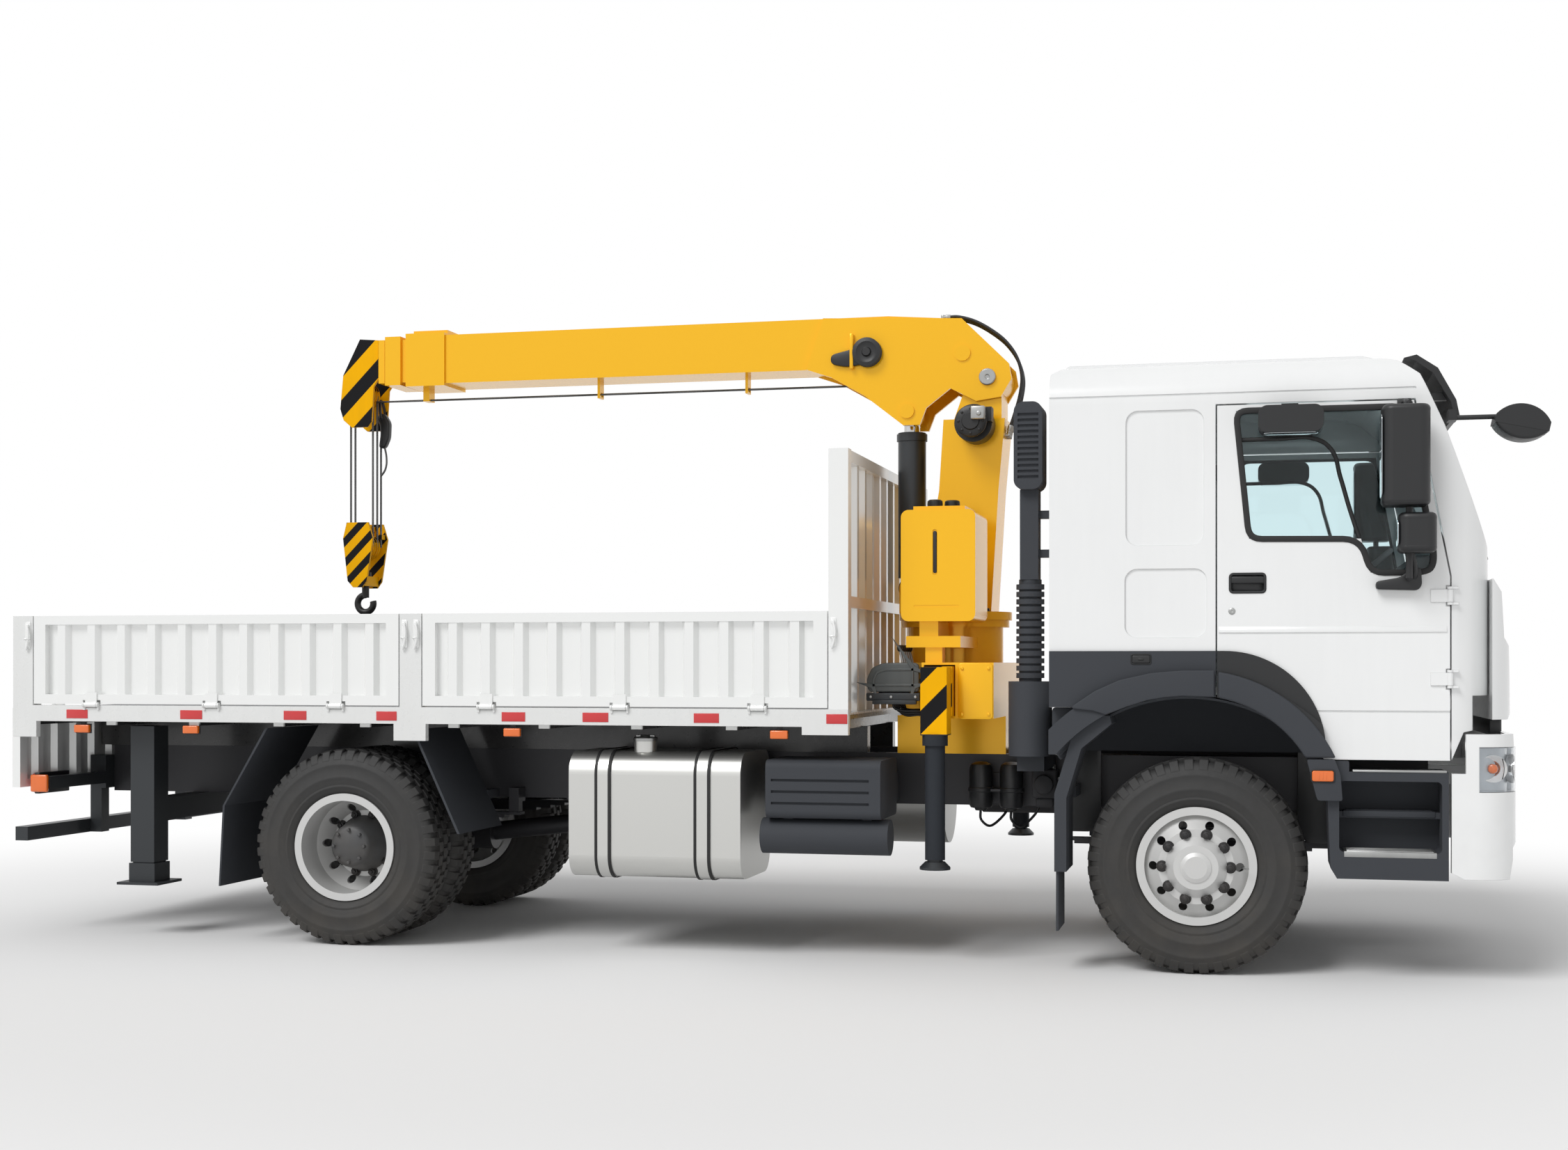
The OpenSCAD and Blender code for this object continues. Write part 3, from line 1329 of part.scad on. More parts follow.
// Rim: dish is the place of the disc's middle, counted outwards from the middle of the rim
module rim(x, y, dish, join, hub_out, capped) {
    seat = bead_half + seat_gap;
    edge = bead_half + 11;
    bead = rim_r - 30 - seat_gap;
    disc_t = 14;
    barrel_t = 14;
    bore_r = spindle_d / 2 + spindle_gap;
    translate([x, y, axle_z]) rotate([90, 0, 0]) difference() {
        rotate_extrude($fn = 96) {
            // Barrel with its flanges
            polygon([
                [bead - barrel_t, -edge], [rim_r - 4, -edge], [rim_r - 4, -seat], [bead, -seat],
                [bead, seat], [rim_r - 4, seat], [rim_r - 4, edge], [bead - barrel_t, edge]
            ]);
            // Disc, flat at the hub and coned out to the barrel
            polygon([
                [hub_r - 5, dish - disc_t / 2], [hub_r + 30, dish - disc_t / 2],
                [bead - barrel_t + 4, join - disc_t],
                [bead - barrel_t + 4, join + disc_t], [hub_r + 36, dish + disc_t / 2],
                [hub_r - 5, dish + disc_t / 2]
            ]);
            // Hub
            polygon([
                [bore_r, dish - 40], [hub_r - 20, dish - 40], [hub_r, dish - 20], [hub_r, dish + 14],
                [hub_r - 40, dish + hub_out], [bore_r, dish + hub_out]
            ]);
            // Cap over the end of the spindle
            if (capped) polygon([
                [0, dish + hub_out - 12], [bore_r + 2, dish + hub_out - 12],
                [bore_r + 30, dish + hub_out - 6],
                [bore_r + 30, dish + hub_out + 6], [bore_r + 10, dish + hub_out + 14],
                [0, dish + hub_out + 14]
            ]);
        }
        for (i = [0 : 9]) rotate([0, 0, 36 * i]) translate([hub_r + 62, 0, -300]) cylinder(r = 22, h = 600);
    }
}

module tyre_front_right() ahead() color("#1d1e1f") tyre(front_x, -front_wheel_y);
module tyre_front_left() ahead() color("#1d1e1f") left_side() tyre(front_x, -front_wheel_y);
module rim_front_right() ahead() color("#c3c5c7") rim(front_x, -front_wheel_y, front_dish, 70, 50, true);
module rim_front_left() ahead() color("#c3c5c7")
    left_side() rim(front_x, -front_wheel_y, front_dish, 70, 50, true);

module twin_tyres() {
    tyre(0, -rear_wheel_y);
    tyre(0, -rear_wheel_y + twin_pitch);
}

module twin_rims() {
    rim(0, -rear_wheel_y, -rear_dish, -70, rear_hub_l, true);
    translate([0, -2 * rear_wheel_y + twin_pitch, 0]) mirror([0, 1, 0])
        rim(0, -rear_wheel_y, -rear_dish, -70, 30, false);
}

module tyres_rear_right() color("#1d1e1f") twin_tyres();
module tyres_rear_left() color("#1d1e1f") left_side() twin_tyres();
module rims_rear_right() color("#c3c5c7") twin_rims();
module rims_rear_left() color("#c3c5c7") left_side() twin_rims();

// Every node, moved so that the origin is under the middle of the truck
module placed() {
    translate([-x_mid, 0, 0]) children();
}

placed() frame_rails();
placed() front_axle();
placed() rear_axle();
placed() engine();
placed() fuel_tank();
placed() battery_box();
placed() silencer();
placed() flatbed();
placed() headboard();
placed() bumper();
placed() lamps();
placed() cab_shell();
placed() cab_front();
placed() windscreen();
placed() cab_interior();
placed() seats();
placed() fenders();
placed() snorkel();
placed() sun_visor();
placed() crane_base();
placed() oil_tank();
placed() rear_stabilizer();
placed() knuckle_right();
placed() knuckle_left();
placed() tyre_front_right();
placed() tyre_front_left();
placed() rim_front_right();
placed() rim_front_left();
placed() tyres_rear_right();
placed() tyres_rear_left();
placed() rims_rear_right();
placed() rims_rear_left();
placed() door_right();
placed() door_left();
placed() door_glass_right();
placed() door_glass_left();
placed() door_fittings_right();
placed() door_fittings_left();
placed() side_rear_right();
placed() side_front_right();
placed() side_rear_left();
placed() side_front_left();
placed() tail_gate();
placed() column();
placed() winch();
placed() boom_base();
placed() boom_section_2();
placed() boom_section_3();
placed() boom_head();
placed() lift_barrel();
placed() lift_rod();
placed() hoist_ropes();
placed() hook_block();
placed() hook();
placed() outrigger_right();
placed() outrigger_left();
placed() jack_right();
placed() jack_left();
placed() rear_leg_right();
placed() rear_leg_left();
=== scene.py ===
"""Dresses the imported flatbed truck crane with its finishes, tyres, rigging, hoses and small fittings.

Every piece is modelled in metres from the rear axle, and fit() moves it to the frame's own origin.
"""

from __future__ import annotations

import logging
import math
from dataclasses import dataclass, replace
from enum import Enum
from functools import cache

import bpy
from mathutils import Matrix, Vector


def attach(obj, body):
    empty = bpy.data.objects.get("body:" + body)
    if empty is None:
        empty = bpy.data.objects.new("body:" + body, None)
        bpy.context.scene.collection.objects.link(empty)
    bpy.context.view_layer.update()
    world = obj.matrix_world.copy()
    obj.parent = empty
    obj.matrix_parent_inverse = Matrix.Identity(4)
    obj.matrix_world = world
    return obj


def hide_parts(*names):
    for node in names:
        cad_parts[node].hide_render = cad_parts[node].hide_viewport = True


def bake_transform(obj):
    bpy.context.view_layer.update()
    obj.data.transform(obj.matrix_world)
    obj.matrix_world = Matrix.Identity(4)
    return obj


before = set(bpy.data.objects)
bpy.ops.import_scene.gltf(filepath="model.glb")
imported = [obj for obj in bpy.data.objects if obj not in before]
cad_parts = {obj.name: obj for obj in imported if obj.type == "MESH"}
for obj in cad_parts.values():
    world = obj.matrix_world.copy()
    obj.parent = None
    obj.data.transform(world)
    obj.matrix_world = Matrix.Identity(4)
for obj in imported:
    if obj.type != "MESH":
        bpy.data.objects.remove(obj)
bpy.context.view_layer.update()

LOG = logging.getLogger("truck_crane")
MID_X = 2.078
AXLE_Z = 0.5425
FRONT_X = 4.6
Point = tuple[float, float, float]
Flat = tuple[float, float]
Colour = tuple[int, int, int]
Piece = bpy.types.Object


class Plane(Enum):
    """Plane in which an outline is drawn."""

    SIDE = "xz"
    CROSS = "yz"
    TOP = "xy"

    def point(self, first: float, second: float, depth: float) -> Vector:
        """Returns the point of an outline at a depth across its plane."""
        if self is Plane.SIDE:
            return Vector((first, depth, second))
        if self is Plane.CROSS:
            return Vector((depth, first, second))
        return Vector((first, second, depth))


class Side(Enum):
    """Side of the truck, as the sign of y."""

    RIGHT = -1
    LEFT = 1

    @property
    def word(self) -> str:
        """Returns the name used in pieces and bodies."""
        return self.name.lower()


class Bench:
    """Modelling operators that act on one piece at a time."""

    @staticmethod
    def clear() -> None:
        """Leaves edit mode and deselects everything."""
        active = bpy.context.view_layer.objects.active
        if active is not None and active.mode != "OBJECT":
            bpy.ops.object.mode_set(mode="OBJECT")
        bpy.ops.object.select_all(action="DESELECT")

    @staticmethod
    def pick(piece: Piece) -> None:
        """Makes a piece the only one selected."""
        Bench.clear()
        piece.select_set(True)
        bpy.context.view_layer.objects.active = piece

    @staticmethod
    def edit(piece: Piece) -> None:
        """Opens a piece in edit mode with all of it selected."""
        Bench.pick(piece)
        bpy.ops.object.mode_set(mode="EDIT")
        bpy.ops.mesh.select_all(action="SELECT")

    @staticmethod
    def close(merge: float = 0.0) -> None:
        """Turns the normals outwards and leaves edit mode.

        Args:
            merge: Distance under which points are joined first, or 0 for none.
        """
        bpy.ops.mesh.select_all(action="SELECT")
        if merge > 0:
            bpy.ops.mesh.remove_doubles(threshold=merge)
        bpy.ops.mesh.normals_make_consistent(inside=False)
        bpy.ops.object.mode_set(mode="OBJECT")

    @staticmethod
    def named(name: str) -> Piece:
        """Names the new primitive and puts its place into its mesh."""
        piece = bpy.context.view_layer.objects.active
        piece.name = name
        piece.data.name = name
        bpy.ops.object.transform_apply(location=True, rotation=True, scale=True)
        return piece

    @staticmethod
    def apply(piece: Piece, kind: str, **values: object) -> None:
        """Adds a modifier with these values and applies it."""
        Bench.pick(piece)
        bpy.ops.object.modifier_add(type=kind)
        modifier = piece.modifiers[-1]
        for key, value in values.items():
            setattr(modifier, key, value)
        bpy.ops.object.modifier_apply(modifier=modifier.name)

    @staticmethod
    def soften(piece: Piece, width: float, segments: int = 2, angle: float = 38.0) -> Piece:
        """Rounds the edges of a piece and shades it smooth.

        Args:
            piece: The piece.
            width: Width of the rounding, or 0 for none.
            segments: Faces across the rounding.
            angle: Edges sharper than this, in degrees, are rounded.

        Returns:
            The same piece.
        """
        if width > 0:
            Bench.apply(piece, "BEVEL", width=width, segments=segments, limit_method="ANGLE",
                        angle_limit=math.radians(angle), use_clamp_overlap=True)
        Bench.pick(piece)
        bpy.ops.object.shade_smooth_by_angle(angle=math.radians(angle))
        return piece

    @staticmethod
    def block(name: str, low: Point, high: Point, bevel: float = 0.003, segments: int = 2) -> Piece:
        """Makes a box with round edges.

        Args:
            name: Name of the piece.
            low: Lowest corner.
            high: Highest corner.
            bevel: Width of the rounding of its edges.
            segments: Faces across the rounding.

        Returns:
            The piece.
        """
        Bench.clear()
        low_corner, high_corner = Vector(low), Vector(high)
        bpy.ops.mesh.primitive_cube_add(size=1, location=(low_corner + high_corner) / 2)
        bpy.context.view_layer.objects.active.scale = high_corner - low_corner
        return Bench.soften(Bench.named(name), bevel, segments)

    @staticmethod
    def rod(name: str, start: Point, end: Point, radius: float, sides: int = 24,
            bevel: float = 0.002) -> Piece:
        """Makes a round bar with chamfered ends.

        Args:
            name: Name of the piece.
            start: Middle of one end.
            end: Middle of the other end.
            radius: Radius of the bar.
            sides: Faces round the bar.
            bevel: Width of the chamfer.

        Returns:
            The piece.
        """
        Bench.clear()
        first, last = Vector(start), Vector(end)
        way = last - first
        turn = way.to_track_quat("Z", "Y").to_euler()
        bpy.ops.mesh.primitive_cylinder_add(vertices=sides, radius=radius, depth=way.length,
                                            location=(first + last) / 2, rotation=turn)
        return Bench.soften(Bench.named(name), bevel)

    @staticmethod
    def outline(name: str, points: list[Flat], plane: Plane, depth: float) -> Piece:
        """Makes a flat face from an outline.

        Args:
            name: Name of the piece.
            points: Corners of the outline, in order.
            plane: Plane of the outline.
            depth: Place of the face across that plane.

        Returns:
            The piece.
        """
        Bench.clear()
        bpy.ops.mesh.primitive_circle_add(vertices=len(points), fill_type="NGON")
        piece = Bench.named(name)
        for corner, (first, second) in zip(piece.data.vertices, points):
            corner.co = plane.point(first, second, depth)
        return piece

    @staticmethod
    def plate(name: str, points: list[Flat], plane: Plane, start: float, end: float,
              bevel: float = 0.002, segments: int = 2) -> Piece:
        """Makes a plate by pushing an outline out.

        Args:
            name: Name of the piece.
            points: Corners of the outline, in order.
            plane: Plane of the outline.
            start: Where the plate starts across that plane.
            end: Where it ends.
            bevel: Width of the rounding of its edges.
            segments: Faces across the rounding.

        Returns:
            The piece.
        """
        piece = Bench.outline(name, points, plane, start)
        Bench.edit(piece)
        way = plane.point(0, 0, end - start)
        bpy.ops.mesh.extrude_region_move(TRANSFORM_OT_translate={"value": way})
        Bench.close()
        return Bench.soften(piece, bevel, segments)

    @staticmethod
    def ring(name: str, points: list[Flat], plane: Plane, start: float, end: float, width: float,
             bevel: float = 0.002) -> Piece:
        """Makes a frame that follows an outline on its inner side.

        Args:
            name: Name of the piece.
            points: Corners of the outer edge, in order.
            plane: Plane of the outline.
            start: Where the frame starts across that plane.
            end: Where it ends.
            width: Width of the frame's bar.
            bevel: Width of the rounding of its edges.

        Returns:
            The piece.
        """
        piece = Bench.outline(name, points, plane, start)
        Bench.edit(piece)
        bpy.ops.mesh.inset(thickness=width, use_even_offset=True)
        bpy.ops.mesh.delete(type="FACE")
        bpy.ops.mesh.select_all(action="SELECT")
        way = plane.point(0, 0, end - start)
        bpy.ops.mesh.extrude_region_move(TRANSFORM_OT_translate={"value": way})
        Bench.close()
        return Bench.soften(piece, bevel)

    @staticmethod
    def lathe(name: str, profile: list[Flat], steps: int = 48) -> Piece:
        """Spins a closed section round the y axis through the origin.

        Args:
            name: Name of the piece.
            profile: Corners of the section, as radius and y.
            steps: Faces round the turn.

        Returns:
            The piece.
        """
        Bench.clear()
        bpy.ops.mesh.primitive_circle_add(vertices=len(profile), fill_type="NOTHING")
        piece = Bench.named(name)
        for corner, (radius, along) in zip(piece.data.vertices, profile):
            corner.co = (radius, along, 0)
        Bench.edit(piece)
        bpy.ops.mesh.spin(steps=steps, angle=2 * math.pi, center=(0, 0, 0), axis=(0, 1, 0))
        bpy.ops.mesh.select_all(action="SELECT")
        bpy.ops.mesh.remove_doubles(threshold=0.00002)
        bpy.ops.mesh.select_all(action="SELECT")
        bpy.ops.mesh.delete_loose()
        Bench.close()
        return Bench.soften(piece, 0)

    @staticmethod
    def around(piece: Piece, count: int) -> Piece:
        """Repeats a piece count times round the y axis through the origin."""
        Bench.edit(piece)
        bpy.ops.mesh.spin(steps=count - 1, dupli=True, angle=2 * math.pi * (count - 1) / count,
                          center=(0, 0, 0), axis=(0, 1, 0))
        Bench.close()
        return piece

    @staticmethod
    def tube(name: str, points: list[Point], radius: float, sides: int = 3) -> Piece:
        """Makes a round hose or bar along a smooth path.

        Args:
            name: Name of the piece.
            points: Points that the path goes through.
            radius: Radius of the hose.
            sides: Fineness of its section.

        Returns:
            The piece, as a mesh.
        """
        Bench.clear()
        bpy.ops.curve.primitive_bezier_curve_add()
        piece = bpy.context.view_layer.objects.active
        piece.name = name
        curve = piece.data
        spline = curve.splines[0]
        spline.bezier_points.add(len(points) - 2)
        for knot, place in zip(spline.bezier_points, points):
            knot.co = place
            knot.handle_left_type = knot.handle_right_type = "AUTO"
        curve.bevel_depth = radius
        curve.bevel_resolution = sides
        curve.resolution_u = 8
        curve.use_fill_caps = True
        bpy.ops.object.convert(target="MESH")
        piece = bpy.context.view_layer.objects.active
        Bench.edit(piece)
        Bench.close(merge=0.00001)
        return Bench.soften(piece, 0, angle=60)

    @staticmethod
    def join(name: str, pieces: list[Piece]) -> Piece:
        """Joins pieces into one."""
        Bench.clear()
        for piece in pieces:
            piece.select_set(True)
        bpy.context.view_layer.objects.active = pieces[0]
        if len(pieces) > 1:
            bpy.ops.object.join()
        pieces[0].name = name
        pieces[0].data.name = name
        return pieces[0]

    @staticmethod
    def copy(piece: Piece, name: str, place: Matrix) -> Piece:
        """Copies a piece with its own mesh and moves the copy's mesh.

        Args:
            piece: The piece to copy.
            name: Name of the copy.
            place: Where the copy goes, which may mirror it.

        Returns:
            The copy.
        """
        double = piece.copy()
        double.data = piece.data.copy()
        double.name = name
        double.data.name = name
        bpy.context.scene.collection.objects.link(double)
        double.data.transform(place)
        if place.determinant() < 0:
            double.data.flip_normals()
        return double

    @staticmethod
    def spread(name: str, pattern: Piece, places: list[Point]) -> Piece:
        """Sets copies of a pattern at places and joins them, without the pattern.

        Args:
            name: Name of the joined piece.
            pattern: The piece to copy, which is removed.
            places: Where each copy goes.

        Returns:
            The joined piece.
        """
        copies = [Bench.copy(pattern, f"{name}_{index}", Matrix.Translation(place))
                  for index, place in enumerate(places)]
        Bench.drop(pattern)
        return Bench.join(name, copies)

    @staticmethod
    def mirrored(piece: Piece, name: str) -> Piece:
        """Copies a piece to the other side of the truck."""
        return Bench.copy(piece, name, Matrix.Scale(-1, 4, (0, 1, 0)))

    @staticmethod
    def moved(piece: Piece, x: float = 0, y: float = 0, z: float = 0) -> Piece:
        """Moves the mesh of a piece."""
        piece.data.transform(Matrix.Translation((x, y, z)))
        return piece

    @staticmethod
    def turned(piece: Piece, degrees: float, axis: str, centre: Point = (0, 0, 0)) -> Piece:
        """Turns the mesh of a piece about an axis through a point."""
        there = Matrix.Translation(centre)
        turn = Matrix.Rotation(math.radians(degrees), 4, axis)
        piece.data.transform(there @ turn @ there.inverted())
        return piece

    @staticmethod
    def drop(piece: Piece) -> None:
        """Removes a pattern that has been copied."""
        bpy.data.objects.remove(piece)


def round_rect(x0: float, x1: float, z0: float, z1: float, radius: float, steps: int = 5) -> list[Flat]:
    """Returns the corners of a rectangle with round corners.

    Args:
        x0: Lowest first coordinate.
        x1: Highest first coordinate.
        z0: Lowest second coordinate.
        z1: Highest second coordinate.
        radius: Radius of the corners.
        steps: Faces round each corner.

    Returns:
        The points of the outline, in order.
    """
    points: list[Flat] = []
    middles = [(x1 - radius, z1 - radius), (x0 + radius, z1 - radius),
               (x0 + radius, z0 + radius), (x1 - radius, z0 + radius)]
    for quarter, (x, z) in enumerate(middles):
        for step in range(steps + 1):
            turn = math.pi / 2 * (quarter + step / steps)
            points.append((x + radius * math.cos(turn), z + radius * math.sin(turn)))
    return points


def rounded(points: list[Flat], radius: float, steps: int = 5) -> list[Flat]:
    """Returns an outline with its corners rounded.

    Args:
        points: Corners of the outline, in order.
        radius: How far from each corner the rounding starts.
        steps: Faces round each corner.

    Returns:
        The points of the rounded outline, in order.
    """
    smooth: list[Flat] = []
    for index, corner in enumerate(points):
        tip = Vector(corner)
        before = Vector(points[index - 1]) - tip
        after = Vector(points[(index + 1) % len(points)]) - tip
        first = tip + before.normalized() * min(radius, before.length * 0.45)
        last = tip + after.normalized() * min(radius, after.length * 0.45)
        for step in range(steps + 1):
            share = step / steps
            place = first.lerp(tip, share).lerp(tip.lerp(last, share), share)
            smooth.append((place.x, place.y))
    return smooth


def grown(points: list[Flat], by: float) -> list[Flat]:
    """Returns an outline with every side moved outwards.

    Args:
        points: Corners of the outline, in order.
        by: How far each side moves.

    Returns:
        The corners of the larger outline, in order.
    """
    area = sum(a[0] * b[1] - b[0] * a[1] for a, b in zip(points, points[1:] + points[:1]))
    turn = 1 if area > 0 else -1
    larger: list[Flat] = []
    for index, corner in enumerate(points):
        tip = Vector(corner)
        before = (tip - Vector(points[index - 1])).normalized()
        after = (Vector(points[(index + 1) % len(points)]) - tip).normalized()
        middle = (Vector((before.y, -before.x)) + Vector((after.y, -after.x))).normalized() * turn
        reach = by / max(0.3, middle.dot(Vector((after.y, -after.x)) * turn))
        larger.append(tuple(tip + middle * reach))
    return larger


def smooth(points: list[Point], steps: int = 4) -> list[Point]:
    """Draws a smooth path through points.

    Args:
        points: Points that the path goes through.
        steps: Stretches between one point and the next.

    Returns:
        Points close together on the path.
    """
    knots = [Vector(point) for point in points]
    ends = [2 * knots[0] - knots[1], *knots, 2 * knots[-1] - knots[-2]]
    path: list[Point] = []
    for before, start, end, after in zip(ends, ends[1:], ends[2:], ends[3:]):
        for step in range(steps):
            part = step / steps
            square = (2 * before - 5 * start + 4 * end - after) * part ** 2
            cube = (3 * start - before - 3 * end + after) * part ** 3
            path.append(tuple((2 * start + (end - before) * part + square + cube) / 2))
    return [*path, tuple(knots[-1])]


def linear(colour: Colour) -> tuple[float, float, float, float]:
    """Returns a screen colour as linear values with full alpha."""
    parts = [part / 255 for part in colour]
    return (*[part / 12.92 if part <= 0.04045 else ((part + 0.055) / 1.055) ** 2.4 for part in parts], 1.0)


class Graph:
    """Short calls for the nodes of one tree."""

    def __init__(self, tree: bpy.types.NodeTree) -> None:
        """Keeps the tree."""
        self.tree = tree

    def feed(self, target: bpy.types.NodeSocket, value: object) -> None:
        """Links a socket to an input, or sets the input's own value."""
        if isinstance(value, bpy.types.NodeSocket):
            self.tree.links.new(value, target)
        elif value is not None:
            target.default_value = value

    def add(self, kind: str, settings: dict[str, object] | None = None, **inputs: object) -> bpy.types.Node:
        """Adds a node.

        Args:
            kind: Type of the node.
            settings: Properties of the node.
            inputs: Values or sockets for its inputs, with spaces written as underscores.

        Returns:
            The node.
        """
        node = self.tree.nodes.new(kind)
        for key, value in (settings or {}).items():
            setattr(node, key, value)
        for key, value in inputs.items():
            self.feed(node.inputs[key.replace("_", " ")], value)
        return node

    def math(self, operation: str, first: object, second: object = None,
             clamp: bool = False) -> bpy.types.NodeSocket:
        """Returns the result of a Math node."""
        node = self.add("ShaderNodeMath", {"operation": operation, "use_clamp": clamp})
        self.feed(node.inputs[0], first)
        self.feed(node.inputs[1], second)
        return node.outputs[0]

    def ramp(self, value: object, low: float, high: float, start: object = 0.0,
             end: object = 1.0) -> bpy.types.NodeSocket:
        """Returns a value brought from one range to another and held there."""
        node = self.add("ShaderNodeMapRange", {"interpolation_type": "SMOOTHSTEP"})
        for index, item in enumerate((value, low, high, start, end)):
            self.feed(node.inputs[index], item)
        return node.outputs[0]

    def mix(self, factor: object, first: object, second: object) -> bpy.types.NodeSocket:
        """Returns a colour between two colours."""
        node = self.add("ShaderNodeMix", {"data_type": "RGBA"})
        self.feed(node.inputs[0], factor)
        self.feed(node.inputs[6], first)
        self.feed(node.inputs[7], second)
        return node.outputs[2]

    def place(self) -> bpy.types.NodeSocket:
        """Returns the object coordinates."""
        return self.add("ShaderNodeTexCoord").outputs["Object"]

    def noise(self, vector: object, scale: object, detail: float = 3.0) -> bpy.types.NodeSocket:
        """Returns the value of a Noise texture."""
        return self.add("ShaderNodeTexNoise", Vector=vector, Scale=scale, Detail=detail).outputs[0]

    def stretched(self, x: float, y: float, z: float) -> bpy.types.NodeSocket:
        """Returns object coordinates scaled along each axis."""
        return self.add("ShaderNodeMapping", Vector=self.place(), Scale=(x, y, z)).outputs[0]

    def group(self, tree: bpy.types.NodeTree, **inputs: object) -> bpy.types.Node:
        """Places a node group with its values."""
        node = self.tree.nodes.new("ShaderNodeGroup")
        node.node_tree = tree
        for key, value in inputs.items():
            self.feed(node.inputs[key], value)
        return node


class Effects:
    """Node groups that several finishes share, each built once."""

    soot: tuple[float, ...] = (0.02, 0.018, 0.016, 1)
    road_dust: Colour = (128, 118, 104)

    @staticmethod
    def start(name: str, inputs: dict[str, str], outputs: dict[str, str]) -> tuple[Graph, dict, dict]:
        """Makes an empty group with its sockets.

        Args:
            name: Name of the group.
            inputs: Kind of each input by its name.
            outputs: Kind of each output by its name.

        Returns:
            The graph, the group's inputs and the sockets that its outputs take.
        """
        tree = bpy.data.node_groups.new(name, "ShaderNodeTree")
        for key, kind in inputs.items():
            tree.interface.new_socket(name=key, in_out="INPUT", socket_type="NodeSocket" + kind)
        for key, kind in outputs.items():
            tree.interface.new_socket(name=key, in_out="OUTPUT", socket_type="NodeSocket" + kind)
        source = tree.nodes.new("NodeGroupInput")
        target = tree.nodes.new("NodeGroupOutput")
        return Graph(tree), source.outputs, target.inputs

    @staticmethod
    @cache
    def mottle() -> bpy.types.NodeTree:
        """Returns the group that varies a colour in soft patches."""
        graph, given, out = Effects.start("mottle", {"Colour": "Color", "Amount": "Float", "Scale": "Float"},
                                      {"Colour": "Color"})
        cloud = graph.noise(graph.place(), given["Scale"], 5.0)
        streak = graph.noise(graph.stretched(9.0, 9.0, 0.9), given["Scale"], 3.0)
        both = graph.math("ADD", graph.math("MULTIPLY", cloud, 0.6), graph.math("MULTIPLY", streak, 0.4))
        shade = graph.math("MULTIPLY", graph.ramp(both, 0.62, 0.32), given["Amount"])
        dark = graph.mix(0.6, given["Colour"], Effects.soot)
        graph.feed(out["Colour"], graph.mix(shade, given["Colour"], dark))
        return graph.tree

    @staticmethod
    @cache
    def dust() -> bpy.types.NodeTree:
        """Returns the group that lays road dust on what is low."""
        graph, given, out = Effects.start(
            "dust", {"Colour": "Color", "Roughness": "Float", "Amount": "Float", "Height": "Float"},
            {"Colour": "Color", "Roughness": "Float"})
        height = graph.add("ShaderNodeSeparateXYZ", Vector=graph.place()).outputs[2]
        low = graph.math("SUBTRACT", 1.0, graph.math("DIVIDE", height, given["Height"]), clamp=True)
        patch = graph.ramp(graph.noise(graph.place(), 6.0, 6.0), 0.3, 0.7, 0.25, 1.0)
        mask = graph.math("MULTIPLY", graph.math("MULTIPLY", low, patch), given["Amount"], clamp=True)
        graph.feed(out["Colour"], graph.mix(mask, given["Colour"], linear(Effects.road_dust)))
        rough = graph.math("ADD", given["Roughness"], graph.math("MULTIPLY", mask, 0.45))
        speck = graph.math("MULTIPLY", graph.noise(graph.place(), 30.0, 4.0), 0.14)
        even = graph.math("SUBTRACT", rough, 0.07)
        graph.feed(out["Roughness"], graph.math("ADD", even, speck, clamp=True))
        return graph.tree

    @staticmethod
    @cache
    def wear() -> bpy.types.NodeTree:
        """Returns the group that rounds the edges and wears the colour off them."""
        graph, given, out = Effects.start(
            "wear", {"Colour": "Color", "Bare": "Color", "Amount": "Float", "Radius": "Float"},
            {"Colour": "Color", "Normal": "Vector"})
        round_edge = graph.add("ShaderNodeBevel", {"samples": 4}, Radius=given["Radius"]).outputs[0]
        true_face = graph.add("ShaderNodeNewGeometry").outputs["True Normal"]
        node = graph.add("ShaderNodeVectorMath", {"operation": "DOT_PRODUCT"})
        graph.feed(node.inputs[0], round_edge)
        graph.feed(node.inputs[1], true_face)
        edge = graph.ramp(node.outputs["Value"], 0.97, 0.8)
        chips = graph.ramp(graph.noise(graph.place(), 22.0, 7.0), 0.5, 0.62)
        mask = graph.math("MULTIPLY", graph.math("MULTIPLY", edge, chips), given["Amount"], clamp=True)
        graph.feed(out["Colour"], graph.mix(mask, given["Colour"], given["Bare"]))
        graph.feed(out["Normal"], round_edge)
        return graph.tree

    @staticmethod
    @cache
    def grain() -> bpy.types.NodeTree:
        """Returns the group that gives a fine grained height."""
        graph, given, out = Effects.start("grain", {"Scale": "Float"}, {"Height": "Float"})
        cells = graph.add("ShaderNodeTexVoronoi", Vector=graph.place(), Scale=given["Scale"]).outputs[0]
        fine = graph.noise(graph.place(), given["Scale"], 4.0)
        graph.feed(out["Height"], graph.math("ADD", cells, fine))
        return graph.tree

    @staticmethod
    @cache
    def brushed() -> bpy.types.NodeTree:
        """Returns the group of fine lines that run round a rolled sheet."""
        graph, given, out = Effects.start("brushed", {"Scale": "Float"}, {"Height": "Float"})
        graph.feed(out["Height"], graph.noise(graph.stretched(60.0, 0.6, 0.6), given["Scale"], 4.0))
        return graph.tree

